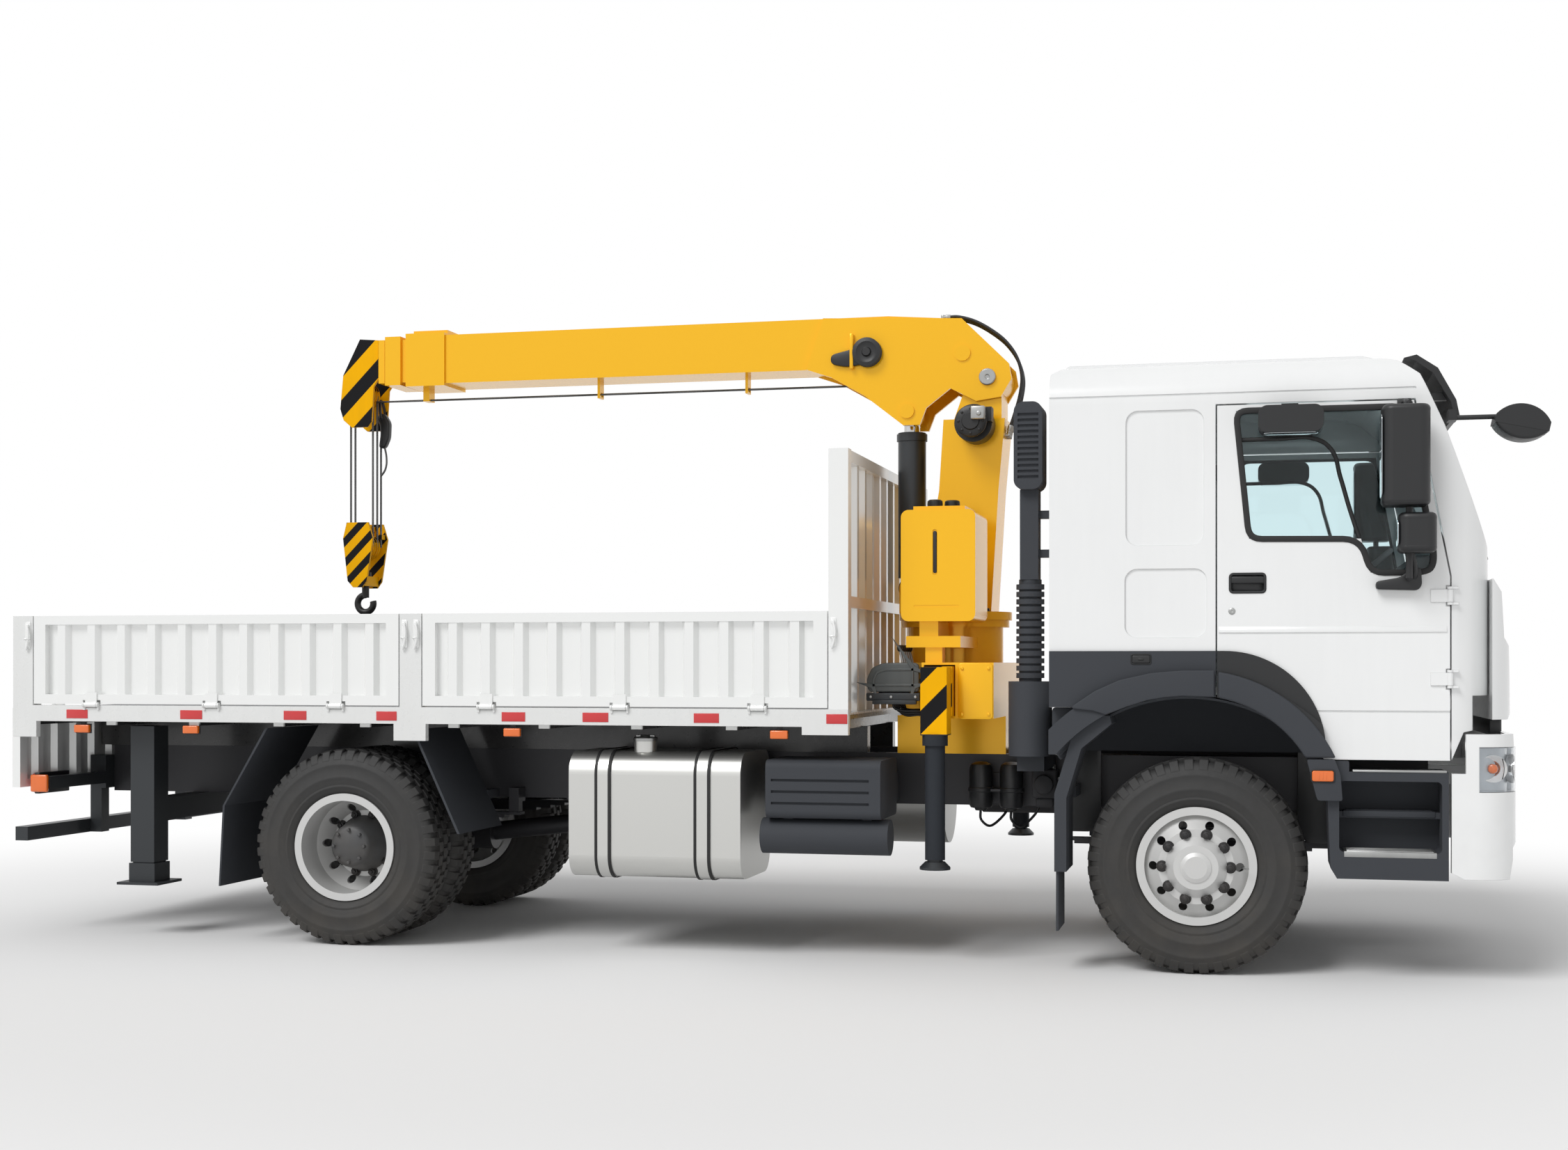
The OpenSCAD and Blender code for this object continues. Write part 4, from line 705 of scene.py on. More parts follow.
    @staticmethod
    @cache
    def underside() -> bpy.types.NodeTree:
        """Returns the group that paints shade in a dark colour on what lies under a height and within a half
        width.
        """
        inputs = {"Paint": "Color", "Under": "Color", "Level": "Float", "Half": "Float"}
        graph, given, out = Effects.start("underside", inputs, {"Colour": "Color"})
        spot = graph.add("ShaderNodeSeparateXYZ", Vector=graph.place()).outputs
        below = graph.math("LESS_THAN", spot[2], given["Level"])
        within = graph.math("LESS_THAN", graph.math("ABSOLUTE", spot[1]), given["Half"])
        painted_shade_mask = graph.math("MULTIPLY", below, within)
        graph.feed(out["Colour"], graph.mix(painted_shade_mask, given["Paint"], given["Under"]))
        return graph.tree

    @staticmethod
    @cache
    def hazard() -> bpy.types.NodeTree:
        """Returns the group that paints slanted bands on the faces to the right and left."""
        graph, given, out = Effects.start(
            "hazard", {"Light": "Color", "Dark": "Color", "Low": "Color", "Pitch": "Float", "Slope": "Float",
                       "Shift": "Float", "Below": "Float", "End": "Float"}, {"Colour": "Color"})
        spot = graph.add("ShaderNodeSeparateXYZ", Vector=graph.place()).outputs
        slant = graph.math("ADD", spot[0], graph.math("MULTIPLY", spot[2], given["Slope"]))
        shifted = graph.math("ADD", slant, given["Shift"])
        turn = graph.math("FRACT", graph.math("DIVIDE", shifted, given["Pitch"]))
        band = graph.ramp(turn, 0.52, 0.54)
        face = graph.add("ShaderNodeSeparateXYZ", Vector=graph.add("ShaderNodeTexCoord").outputs["Normal"])
        flat = graph.math("GREATER_THAN", graph.math("ABSOLUTE", face.outputs[1]), 0.9)
        painted = graph.math("MULTIPLY", flat, graph.math("LESS_THAN", spot[0], given["End"]))
        bands = graph.mix(graph.math("MULTIPLY", band, painted), given["Light"], given["Dark"])
        lower = graph.math("LESS_THAN", spot[2], given["Below"])
        graph.feed(out["Colour"], graph.mix(lower, bands, given["Low"]))
        return graph.tree


@dataclass(frozen=True)
class Finish:
    """A surface of one colour, with its mottle, dust, edge wear and grain.

    The values are the colour on screen, the roughness, the share of metal, the clear coat, how much
    and how large the patches are, the dust and the height it reaches, the wear and what it lays bare,
    the height and scale of the grain, and the radius to which edges are rounded.
    """

    name: str
    slot: str
    colour: Colour
    roughness: float = 0.4
    metallic: float = 0.0
    coat: float = 0.0
    mottle: float = 0.1
    patches: float = 2.5
    dust: float = 0.0
    dust_height: float = 1.3
    wear: float = 0.0
    bare: Colour = (120, 116, 110)
    grain: float = 0.0
    grain_scale: float = 500.0
    specular: float = 0.5
    edge: float = 0.004
    brushed: bool = False

    def base(self, graph: Graph) -> object:
        """Returns the colour that the effects start from."""
        return linear(self.colour)

    def material(self) -> bpy.types.Material:
        """Returns the material, built at its first use."""
        known = bpy.data.materials.get(self.name)
        if known is not None:
            return known
        material = bpy.data.materials.new(self.name)
        material.use_nodes = True
        material.diffuse_color = linear(self.colour)
        self.paint(Graph(material.node_tree), material.node_tree.nodes["Principled BSDF"])
        return material

    def paint(self, graph: Graph, shader: bpy.types.Node) -> None:
        """Joins the effects to the shader.

        Args:
            graph: The material's nodes.
            shader: The material's shader.
        """
        patches = graph.group(Effects.mottle(), Colour=self.base(graph),
                              Amount=self.mottle, Scale=self.patches)
        dusty = graph.group(Effects.dust(), Colour=patches.outputs[0], Roughness=self.roughness,
                            Amount=self.dust, Height=self.dust_height)
        worn = graph.group(Effects.wear(), Colour=dusty.outputs["Colour"], Bare=linear(self.bare),
                           Amount=self.wear, Radius=self.edge)
        graph.feed(shader.inputs["Base Color"], worn.outputs["Colour"])
        graph.feed(shader.inputs["Roughness"], dusty.outputs["Roughness"])
        shader.inputs["Metallic"].default_value = self.metallic
        shader.inputs["Specular IOR Level"].default_value = self.specular
        shader.inputs["Coat Weight"].default_value = self.coat
        shader.inputs["Coat Roughness"].default_value = 0.12
        normal = worn.outputs["Normal"]
        if self.grain > 0:
            effect = Effects.brushed() if self.brushed else Effects.grain()
            height = graph.group(effect, Scale=self.grain_scale).outputs["Height"]
            bump = graph.add("ShaderNodeBump", Height=height, Normal=normal,
                             Strength=self.grain, Distance=0.001)
            normal = bump.outputs[0]
        graph.feed(shader.inputs["Normal"], normal)


@dataclass(frozen=True)
class BedFinish(Finish):
    """White paint of the bed, with painted shade in the frame's black on what lies under the deck and inside
    the sills.
    """

    # Painted shade: the frame's black stands in for the deep shade under the bed, up to the level and within
    # the half width.
    under: Colour = (40, 41, 43)
    level: float = 1.29
    half: float = 1.204

    def base(self, graph: Graph) -> object:
        """Returns the paint, with the painted shade in the frame's black under the deck."""
        both = graph.group(Effects.underside(), Paint=linear(self.colour), Under=linear(self.under),
                           Level=self.level, Half=self.half)
        return both.outputs[0]


@dataclass(frozen=True)
class HazardFinish(Finish):
    """Crane paint with slanted black bands on its sides."""

    pitch: float = 0.2
    slope: float = -1.0
    shift: float = 0.0
    below: float = -1.0
    end: float = 10.0
    band: Colour = (28, 28, 30)
    plain: Colour = (52, 55, 60)

    def base(self, graph: Graph) -> object:
        """Returns the bands as far as their end, with plain grey under a height."""
        bands = graph.group(Effects.hazard(), Light=linear(self.colour), Dark=linear(self.band),
                            Low=linear(self.plain), Pitch=self.pitch, Slope=self.slope, Shift=self.shift,
                            Below=self.below, End=self.end)
        return bands.outputs[0]


@dataclass(frozen=True)
class GlassFinish(Finish):
    """Clear tinted glass."""

    def paint(self, graph: Graph, shader: bpy.types.Node) -> None:
        """Joins the glass values and a faint smear to the shader.

        Args:
            graph: The material's nodes.
            shader: The material's shader.
        """
        smear = graph.ramp(graph.noise(graph.place(), 4.0, 5.0), 0.35, 0.75, self.roughness,
                           self.roughness + 0.05)
        graph.feed(shader.inputs["Roughness"], smear)
        shader.inputs["Base Color"].default_value = linear(self.colour)
        shader.inputs["Transmission Weight"].default_value = 1.0
        shader.inputs["IOR"].default_value = 1.3


@dataclass(frozen=True)
class RopeFinish(Finish):
    """Wire rope, with strands that lie on a slant."""

    grease: Colour = (58, 56, 53)
    wires: float = 70.0

    def base(self, graph: Graph) -> object:
        """Returns the colour of wires and the grease between them."""
        wave = graph.add("ShaderNodeTexWave", {"bands_direction": "DIAGONAL"},
                         Vector=graph.place(), Scale=self.wires)
        return graph.mix(wave.outputs["Fac"], linear(self.grease), linear(self.colour))


BODY_PAINT = {"colour": (230, 231, 230), "roughness": 0.28, "coat": 0.35, "mottle": 0.05, "dust": 0.16,
              "dust_height": 1.5, "wear": 0.2, "bare": (150, 148, 144), "grain": 0.02, "grain_scale": 160.0}
WHITE = Finish("white_paint", "white_paint", **BODY_PAINT)
BED_WHITE = BedFinish("bed_white", "white_paint", **BODY_PAINT)
CAB_WHITE = Finish("cab_white", "white_paint", (242, 243, 243), 0.2, coat=0.6, mottle=0.03, dust=0.12,
                   dust_height=1.3, grain=0.012, grain_scale=140.0, edge=0.006)
YELLOW = Finish("crane_yellow", "crane_yellow", (255, 186, 4), 0.44, specular=0.08, mottle=0.16, dust=0.1,
                dust_height=2.0, wear=0.75, bare=(96, 78, 48), grain=0.03, grain_scale=120.0, edge=0.005)
FRAME = Finish("frame_black", "frame_black", (40, 41, 43), 0.5, mottle=0.25, dust=0.4, dust_height=1.3,
               wear=0.3, bare=(92, 88, 82), grain=0.05, grain_scale=160.0)
LEG = Finish("leg_grey", "leg_grey", (52, 55, 60), 0.45, mottle=0.2, dust=0.3, wear=0.4, bare=(112, 110, 106),
             grain=0.05, grain_scale=160.0)
CAST = Finish("cast_grey", "cast_grey", (70, 70, 70), 0.6, mottle=0.4, dust=0.45, wear=0.3,
              grain=0.2, grain_scale=220.0)
TANK = Finish("tank_aluminium", "tank_aluminium", (172, 170, 166), 0.26, metallic=1.0, mottle=0.2, dust=0.08,
              grain=0.35, grain_scale=14.0, brushed=True)
PLASTIC = Finish("dark_plastic", "dark_plastic", (49, 52, 57), 0.52, mottle=0.12, dust=0.25, dust_height=1.2,
                 grain=0.18, grain_scale=420.0, edge=0.006)
BLACK = Finish("black_plastic", "dark_plastic", (26, 27, 29), 0.42, mottle=0.1, grain=0.1, grain_scale=420.0)
RUBBER = Finish("black_rubber", "dark_plastic", (22, 22, 23), 0.6, mottle=0.1, grain=0.06,
                grain_scale=300.0, edge=0.002)
SILENCER = Finish("silencer_steel", "silencer_steel", (122, 122, 120), 0.45, metallic=0.8,
                  mottle=0.35, dust=0.3)
TYRE = Finish("tyre_rubber", "tyre", (46, 46, 46), 0.66, mottle=0.25, patches=5.0, dust=0.14, dust_height=1.0,
              wear=0.35, bare=(96, 90, 82), grain=0.12, grain_scale=260.0, edge=0.003)
RIM = Finish("rim_silver", "rim_silver", (214, 215, 215), 0.3, metallic=0.6, coat=0.2, mottle=0.12, dust=0.12,
             dust_height=1.0, grain=0.03, grain_scale=200.0)
HUB = Finish("hub_grey", "cast_grey", (74, 75, 77), 0.5, metallic=0.3, mottle=0.25, dust=0.3, dust_height=1.0)
CHROME = Finish("rod_chrome", "rod_chrome", (214, 216, 218), 0.12, metallic=1.0, mottle=0.05)
BRIGHT = Finish("bright_steel", "rod_chrome", (170, 171, 170), 0.34, metallic=0.9, mottle=0.2)
ROPE = RopeFinish("rope_steel", "rope_steel", (128, 126, 122), 0.5, metallic=0.7, mottle=0.3, edge=0.001)
HOOK = Finish("hook_steel", "hook_steel", (48, 48, 50), 0.5, metallic=0.3, mottle=0.3, wear=0.6,
              bare=(130, 126, 120))
GLASS = GlassFinish("cab_glass", "glass", (230, 244, 246), 0.0)
CLEAR = GlassFinish("lamp_shell", "lamp_lens", (248, 249, 250), 0.0)
MIRROR = Finish("mirror_glass", "glass", (206, 212, 216), 0.04, metallic=1.0, mottle=0.02, edge=0.001)
LENS = Finish("lamp_clear", "lamp_lens", (176, 182, 187), 0.12, metallic=0.45, coat=1.0, mottle=0.1,
              grain=0.5, grain_scale=40.0, brushed=True)
RED = Finish("lens_red", "lamp_lens", (206, 20, 28), 0.18, coat=0.9, mottle=0.08, grain=0.25,
             grain_scale=500.0, edge=0.001)
AMBER = replace(RED, name="lens_amber", colour=(236, 110, 18))
TRIM = Finish("cabin_plastic", "cabin_plastic", (78, 80, 83), 0.6, mottle=0.08, grain=0.2, grain_scale=300.0)
CLOTH = Finish("seat_cloth", "seat_cloth", (62, 66, 73), 0.9, mottle=0.15, patches=8.0,
               grain=0.5, grain_scale=600.0)
DECK = Finish("deck_sheet", "frame_black", (96, 98, 100), 0.5, metallic=0.35, mottle=0.3, wear=0.3, grain=0.6,
              grain_scale=38.0)
HEAD_BANDS = HazardFinish("boom_head_bands", "crane_yellow", YELLOW.colour, YELLOW.roughness,
                          specular=YELLOW.specular, mottle=0.16, wear=0.6, bare=YELLOW.bare, pitch=0.25,
                          shift=5.17, end=-2.36)
BLOCK_BANDS = replace(HEAD_BANDS, name="hook_block_bands", wear=0.8, pitch=0.13, shift=5.0,
                      end=HazardFinish.end)
BEAM_BANDS = replace(HEAD_BANDS, name="outrigger_bands", mottle=0.14, pitch=0.26, shift=5.0, below=1.19,
                     end=HazardFinish.end)
COVER = Finish("cover_grey", "cast_grey", (84, 88, 88), 0.42, metallic=0.2, mottle=0.3, dust=0.2, wear=0.4,
               bare=(132, 130, 126))
NUT = Finish("nut_dark", "cast_grey", (44, 44, 46), 0.45, metallic=0.4, mottle=0.2, dust=0.2, dust_height=1.0)
HOSE = Finish("hose_black", "dark_plastic", (24, 24, 26), 0.5, mottle=0.15, grain=0.15,
              grain_scale=260.0, edge=0.001)


def fit(piece: Piece, body: str, finish: Finish, *stands_for: str) -> Piece:
    """Moves a finished piece to the frame's origin, dresses it and lets it ride on a body.

    Args:
        piece: The piece, measured from the rear axle.
        body: Body that it moves with.
        finish: Its surface.
        stands_for: Nodes that it replaces.

    Returns:
        The same piece.
    """
    piece.data.transform(Matrix.Translation((-MID_X, 0, 0)))
    piece.data.materials.clear()
    piece.data.materials.append(finish.material())
    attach(piece, body)
    if stands_for:
        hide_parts(*stands_for)
    LOG.info("%s rides on %s in %s", piece.name, body, finish.name)
    return piece


def fit_pair(piece: Piece, bodies: dict[Side, str], finish: Finish) -> None:
    """Fits a piece of the right side and its mirrored copy on the left.

    Args:
        piece: The right piece, whose name ends in right.
        bodies: Body for each side.
        finish: The surface of both.
    """
    twin = Bench.mirrored(piece, piece.name.replace("right", "left"))
    fit(piece, bodies[Side.RIGHT], finish)
    fit(twin, bodies[Side.LEFT], finish)


CHASSIS_PAIR = {Side.RIGHT: "chassis", Side.LEFT: "chassis"}
DOOR_PAIR = {Side.RIGHT: "door_r", Side.LEFT: "door_l"}


@dataclass
class Studio:
    """Camera, floor and soft light."""

    lens_mm: float = 45.12
    sensor_mm: float = 36.0
    far_clip: float = 500.0
    camera_at: Point = (2.8206, -11.1564, 1.5545)
    camera_turn: float = 0.23655
    lift: float = 0.0565
    sky: float = 0.5
    sun: float = 1.6
    sun_spread: float = 28.0
    sun_tilt: float = 46.0
    sun_turn: float = -30.0
    floor_size: float = 400.0
    floor_grey: float = 0.93
    fade: Flat = (4.5, 9.0)

    def camera(self) -> None:
        """Makes the camera at the viewing angle."""
        data = bpy.data.cameras.new("camera")
        data.lens = self.lens_mm
        data.sensor_width = self.sensor_mm
        data.shift_y = self.lift
        data.clip_end = self.far_clip
        camera = bpy.data.objects.new("camera", data)
        camera.location = self.camera_at
        camera.rotation_euler = (math.pi / 2, 0, self.camera_turn)
        bpy.context.scene.collection.objects.link(camera)
        bpy.context.scene.camera = camera

    @staticmethod
    def seen(graph: Graph) -> bpy.types.NodeSocket:
        """Returns 1 on rays that show the background, in view, in a gloss or through glass."""
        path = graph.add("ShaderNodeLightPath").outputs
        either = graph.math("MAXIMUM", path["Is Camera Ray"], path["Is Glossy Ray"])
        return graph.math("MAXIMUM", either, path["Is Transmission Ray"])

    def world(self) -> None:
        """Makes a soft sky that is white where it is seen."""
        world = bpy.data.worlds.new("studio")
        world.use_nodes = True
        bpy.context.scene.world = world
        graph = Graph(world.node_tree)
        world.node_tree.nodes.clear()
        light = graph.add("ShaderNodeBackground", Color=(1, 1, 1, 1), Strength=self.sky)
        white = graph.add("ShaderNodeBackground", Color=(1, 1, 1, 1), Strength=1.0)
        blend = graph.add("ShaderNodeMixShader", Fac=self.seen(graph))
        graph.feed(blend.inputs[1], light.outputs[0])
        graph.feed(blend.inputs[2], white.outputs[0])
        out = graph.add("ShaderNodeOutputWorld")
        graph.feed(out.inputs["Surface"], blend.outputs[0])

    def floor(self) -> None:
        """Makes the pale floor, which keeps the shadow and turns white far off."""
        Bench.clear()
        bpy.ops.mesh.primitive_plane_add(size=self.floor_size)
        floor = Bench.named("studio_floor")
        material = bpy.data.materials.new("studio_floor")
        material.use_nodes = True
        graph = Graph(material.node_tree)
        material.node_tree.nodes.clear()
        matt = graph.add("ShaderNodeBsdfDiffuse", Color=(*[self.floor_grey] * 3, 1))
        white = graph.add("ShaderNodeEmission", Color=(1, 1, 1, 1), Strength=1.0)
        length = graph.add("ShaderNodeVectorMath", {"operation": "LENGTH"})
        graph.feed(length.inputs[0], graph.place())
        far = graph.ramp(length.outputs["Value"], *self.fade)
        blend = graph.add("ShaderNodeMixShader", Fac=graph.math("MULTIPLY", far, self.seen(graph)))
        graph.feed(blend.inputs[1], matt.outputs[0])
        graph.feed(blend.inputs[2], white.outputs[0])
        out = graph.add("ShaderNodeOutputMaterial")
        graph.feed(out.inputs["Surface"], blend.outputs[0])
        floor.data.materials.append(material)

    def lights(self) -> None:
        """Adds one broad soft sun over the camera's shoulder."""
        data = bpy.data.lights.new("soft_sun", "SUN")
        data.energy = self.sun
        data.angle = math.radians(self.sun_spread)
        lamp = bpy.data.objects.new("soft_sun", data)
        lamp.rotation_euler = (math.radians(self.sun_tilt), 0, math.radians(self.sun_turn))
        bpy.context.scene.collection.objects.link(lamp)

    def build(self) -> None:
        """Builds the studio."""
        bpy.context.scene.view_settings.view_transform = "Standard"
        self.camera()
        self.world()
        self.floor()
        self.lights()


@dataclass
class CadFinishes:
    """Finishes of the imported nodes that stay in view."""

    def table(self) -> dict[str, Finish]:
        """Returns the finish of each node."""
        by_finish = {
            FRAME: "frame_rails front_axle rear_axle knuckle_right knuckle_left",
            CAST: "engine",
            TANK: "fuel_tank",
            PLASTIC: "battery_box fenders snorkel",
            BLACK: "sun_visor door_fittings_right door_fittings_left winch",
            SILENCER: "silencer",
            BED_WHITE: "flatbed",
            WHITE: "headboard side_rear_right side_front_right side_rear_left side_front_left tail_gate",
            CAB_WHITE: "bumper cab_shell cab_front door_right door_left",
            LENS: "lamps",
            GLASS: "windscreen door_glass_right door_glass_left",
            TRIM: "cab_interior",
            CLOTH: "seats",
            YELLOW: "crane_base oil_tank column boom_base boom_section_2 boom_section_3",
            HEAD_BANDS: "boom_head",
            BLOCK_BANDS: "hook_block",
            BEAM_BANDS: "outrigger_right outrigger_left",
            LEG: "rear_stabilizer rear_leg_right rear_leg_left jack_right jack_left lift_barrel",
            RIM: "rim_front_right rim_front_left rims_rear_right rims_rear_left",
            CHROME: "lift_rod",
            HOOK: "hook",
            ROPE: "hoist_ropes",
            TYRE: "tyre_front_right tyre_front_left tyres_rear_right tyres_rear_left",
        }
        return {node: finish for finish, nodes in by_finish.items() for node in nodes.split()}

    def build(self) -> None:
        """Gives every node its material."""
        for node, finish in self.table().items():
            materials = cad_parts[node].data.materials
            materials.clear()
            materials.append(finish.material())
            LOG.info("%s in %s", node, finish.name)


@dataclass
class RoadTyres:
    """Tyres with sidewall ribs and a block tread."""

    radius: float = AXLE_Z
    pitches: int = 44
    lug_half: float = 0.0235
    block_half: float = 0.0285
    front_y: float = 1.015
    rear_y: float = 1.068
    twin_pitch: float = 0.34

    def section(self) -> list[Flat]:
        """Returns the carcass section, down to the bottom of the grooves."""
        half = [(0.2705, 0.1125), (0.2985, 0.1135), (0.303, 0.121), (0.315, 0.131), (0.330, 0.1375),
                (0.334, 0.1405), (0.341, 0.1405), (0.345, 0.139), (0.362, 0.1445), (0.378, 0.147),
                (0.382, 0.149), (0.391, 0.149), (0.395, 0.1472), (0.422, 0.146), (0.448, 0.142),
                (0.452, 0.1436), (0.460, 0.143), (0.464, 0.1405), (0.488, 0.134), (0.503, 0.126),
                (0.514, 0.116), (0.522, 0.102), (0.526, 0.080), (0.527, 0.040)]
        return half + [(radius, -along) for radius, along in reversed(half)]

    def tread(self) -> Piece:
        """Returns the lugs and blocks of the whole tread."""
        shoulder = [(0.060, 0.520), (0.060, 0.5410), (0.082, 0.5415), (0.108, 0.5335), (0.129, 0.5045),
                    (0.1375, 0.482), (0.132, 0.478), (0.112, 0.512)]
        middle = [(0.006, 0.522), (0.006, 0.5415), (0.050, 0.5415), (0.050, 0.522)]
        arc = 2 * math.pi / self.pitches
        lumps: list[Piece] = []
        for side, phase in ((1, 0.0), (-1, 0.5)):
            for outline, half, step in ((shoulder, self.lug_half, 0.0), (middle, self.block_half, 0.42)):
                points = [(radius, side * along) for along, radius in outline]
                lump = Bench.plate("lump", points, Plane.TOP, -half, half, 0.0035, 1)
                lumps.append(Bench.turned(lump, math.degrees(arc * (phase + step)), "Y"))
        return Bench.around(Bench.join("tread", lumps), self.pitches)

    def build(self) -> None:
        """Makes one tyre and sets it on every wheel."""
        carcass = Bench.lathe("carcass", self.section(), 96)
        master = Bench.soften(Bench.join("tyre_master", [carcass, self.tread()]), 0, angle=32)
        for side in Side:
            way = side.value
            front = Bench.copy(master, f"road_tyre_front_{side.word}",
                               Matrix.Translation((FRONT_X, way * self.front_y, AXLE_Z)))
            fit(front, f"wheel_front_{side.word}", TYRE, f"tyre_front_{side.word}")
            pair = [Bench.copy(master, f"twin_{y}", Matrix.Translation((0, way * y, AXLE_Z)))
                    for y in (self.rear_y, self.rear_y - self.twin_pitch)]
            twins = Bench.join(f"road_tyres_rear_{side.word}", pair)
            fit(twins, f"wheels_rear_{side.word}", TYRE, f"tyres_rear_{side.word}")
        Bench.drop(master)


@dataclass
class HoistRopes:
    """Rope falls between the boom head and the hook block, in two lengths that slide past each other."""

    head_x: float = -0.44
    rope_x: float = 0.0728
    falls_y: tuple[float, float] = (-0.05, 0.01)
    radius: float = 0.0065
    slim: float = 0.97
    upper: Flat = (2.38, 3.2)
    lower: Flat = (2.27, 2.95)
    lay: float = 0.09
    strands: int = 6
    valley: float = 0.8
    step: float = 0.01

    def rope(self, name: str, length: float, radius: float) -> Piece:
        """Makes a straight stranded rope that stands on the origin.

        Args:
            name: Name of the piece.
            length: Length of the rope.
            radius: Its radius.

        Returns:
            The piece.
        """
        Bench.clear()
        sides = 4
        bpy.ops.mesh.primitive_circle_add(vertices=sides * self.strands, radius=radius, fill_type="NOTHING")
        piece = Bench.named(name)
        for corner in list(piece.data.vertices)[::sides]:
            corner.co *= self.valley
        rise = (0, 0, self.step)
        Bench.edit(piece)
        bpy.ops.mesh.extrude_region_move(TRANSFORM_OT_translate={"value": rise})
        bpy.ops.object.mode_set(mode="OBJECT")
        Bench.apply(piece, "ARRAY", count=round(length / self.step), use_relative_offset=False,
                    use_constant_offset=True, constant_offset_displace=rise, use_merge_vertices=True,
                    merge_threshold=0.0005)
        Bench.apply(piece, "SIMPLE_DEFORM", deform_method="TWIST", deform_axis="Z",
                    angle=2 * math.pi * length / self.lay)
        Bench.edit(piece)
        bpy.ops.mesh.fill_holes(sides=0)
        Bench.close()
        return Bench.soften(piece, 0, angle=50)

    def build(self) -> None:
        """Makes both sets of falls."""
        sets = (("upper", "rope_falls", self.upper, self.radius, ("hoist_ropes",)),
                ("lower", "block", self.lower, self.radius * self.slim, ()))
        for word, body, (low, high), radius, stands_for in sets:
            places = [(self.head_x + side * self.rope_x, y, low) for side in (-1, 1) for y in self.falls_y]
            falls = Bench.spread(f"rope_falls_{word}", self.rope("fall", high - low, radius), places)
            fit(falls, body, ROPE, *stands_for)


@dataclass
class WheelFittings:
    """Wheel nuts, rear hub covers and valve stems."""

    nut_ring: float = 0.167
    nuts: int = 10
    front_face: float = 1.162
    rear_face: float = 0.931
    hub_radius: float = 0.1515
    nose_radius: float = 0.1125
    hub_end: float = 1.1305

    def nut(self) -> Piece:
        """Returns one nut on its washer, at the nut ring and facing the right side."""
        washer = Bench.lathe("washer", [(0, 0.002), (0.029, 0.002), (0.029, -0.003),
                                        (0.026, -0.006), (0, -0.006)], 20)
        hexagon = Bench.rod("hexagon", (0, -0.005, 0), (0, -0.028, 0), 0.0215, 6, 0.003)
        stud = Bench.rod("stud", (0, -0.027, 0), (0, -0.038, 0), 0.011, 12)
        return Bench.moved(Bench.join("nut", [washer, hexagon, stud]), x=self.nut_ring)

    def hub(self) -> Piece:
        """Returns the cover of the rear hub with its ring of screws."""
        radius, end = self.hub_radius, self.hub_end - self.rear_face
        nose = self.nose_radius
        section = [(0, 0.001), (radius + 0.006, 0.001), (radius + 0.006, -0.016), (radius, -0.022),
                   (nose + 0.006, 0.03 - end), (nose, 0.016 - end), (nose - 0.02, 0.002 - end), (0, -end)]
        cover = Bench.lathe("cover", section, 48)
        screw = Bench.moved(Bench.rod("screw", (0, 0.012 - end, 0), (0, -0.012 - end, 0), 0.01, 6),
                            x=nose - 0.022)
        return Bench.join("hub", [cover, Bench.around(screw, 8)])

    def valve(self) -> Piece:
        """Returns a valve stem that leans out of a hand hole."""
        return Bench.tube("valve", [(0.222, 0.03, 0), (0.226, -0.005, 0), (0.238, -0.03, 0),
                                    (0.254, -0.045, 0)], 0.0045)

    def build(self) -> None:
        """Sets the fittings on the wheels of both sides."""
        ring = Bench.around(self.nut(), self.nuts)
        wheels = (("front", FRONT_X, self.front_face, "wheel_front"),
                  ("rear", 0.0, self.rear_face, "wheels_rear"))
        for word, x, face, body in wheels:
            there = Matrix.Translation((x, -face, AXLE_Z))
            bodies = {side: f"{body}_{side.word}" for side in Side}
            fit_pair(Bench.copy(ring, f"wheel_nuts_{word}_right", there), bodies, NUT)
            valve = self.valve()
            fit_pair(Bench.copy(valve, f"valve_stem_{word}_right", there), bodies, BRIGHT)
            Bench.drop(valve)
        Bench.drop(ring)
        hub = Bench.moved(self.hub(), y=-self.rear_face, z=AXLE_Z)
        hub.name = "hub_cover_right"
        fit_pair(hub, {side: f"wheels_rear_{side.word}" for side in Side}, HUB)


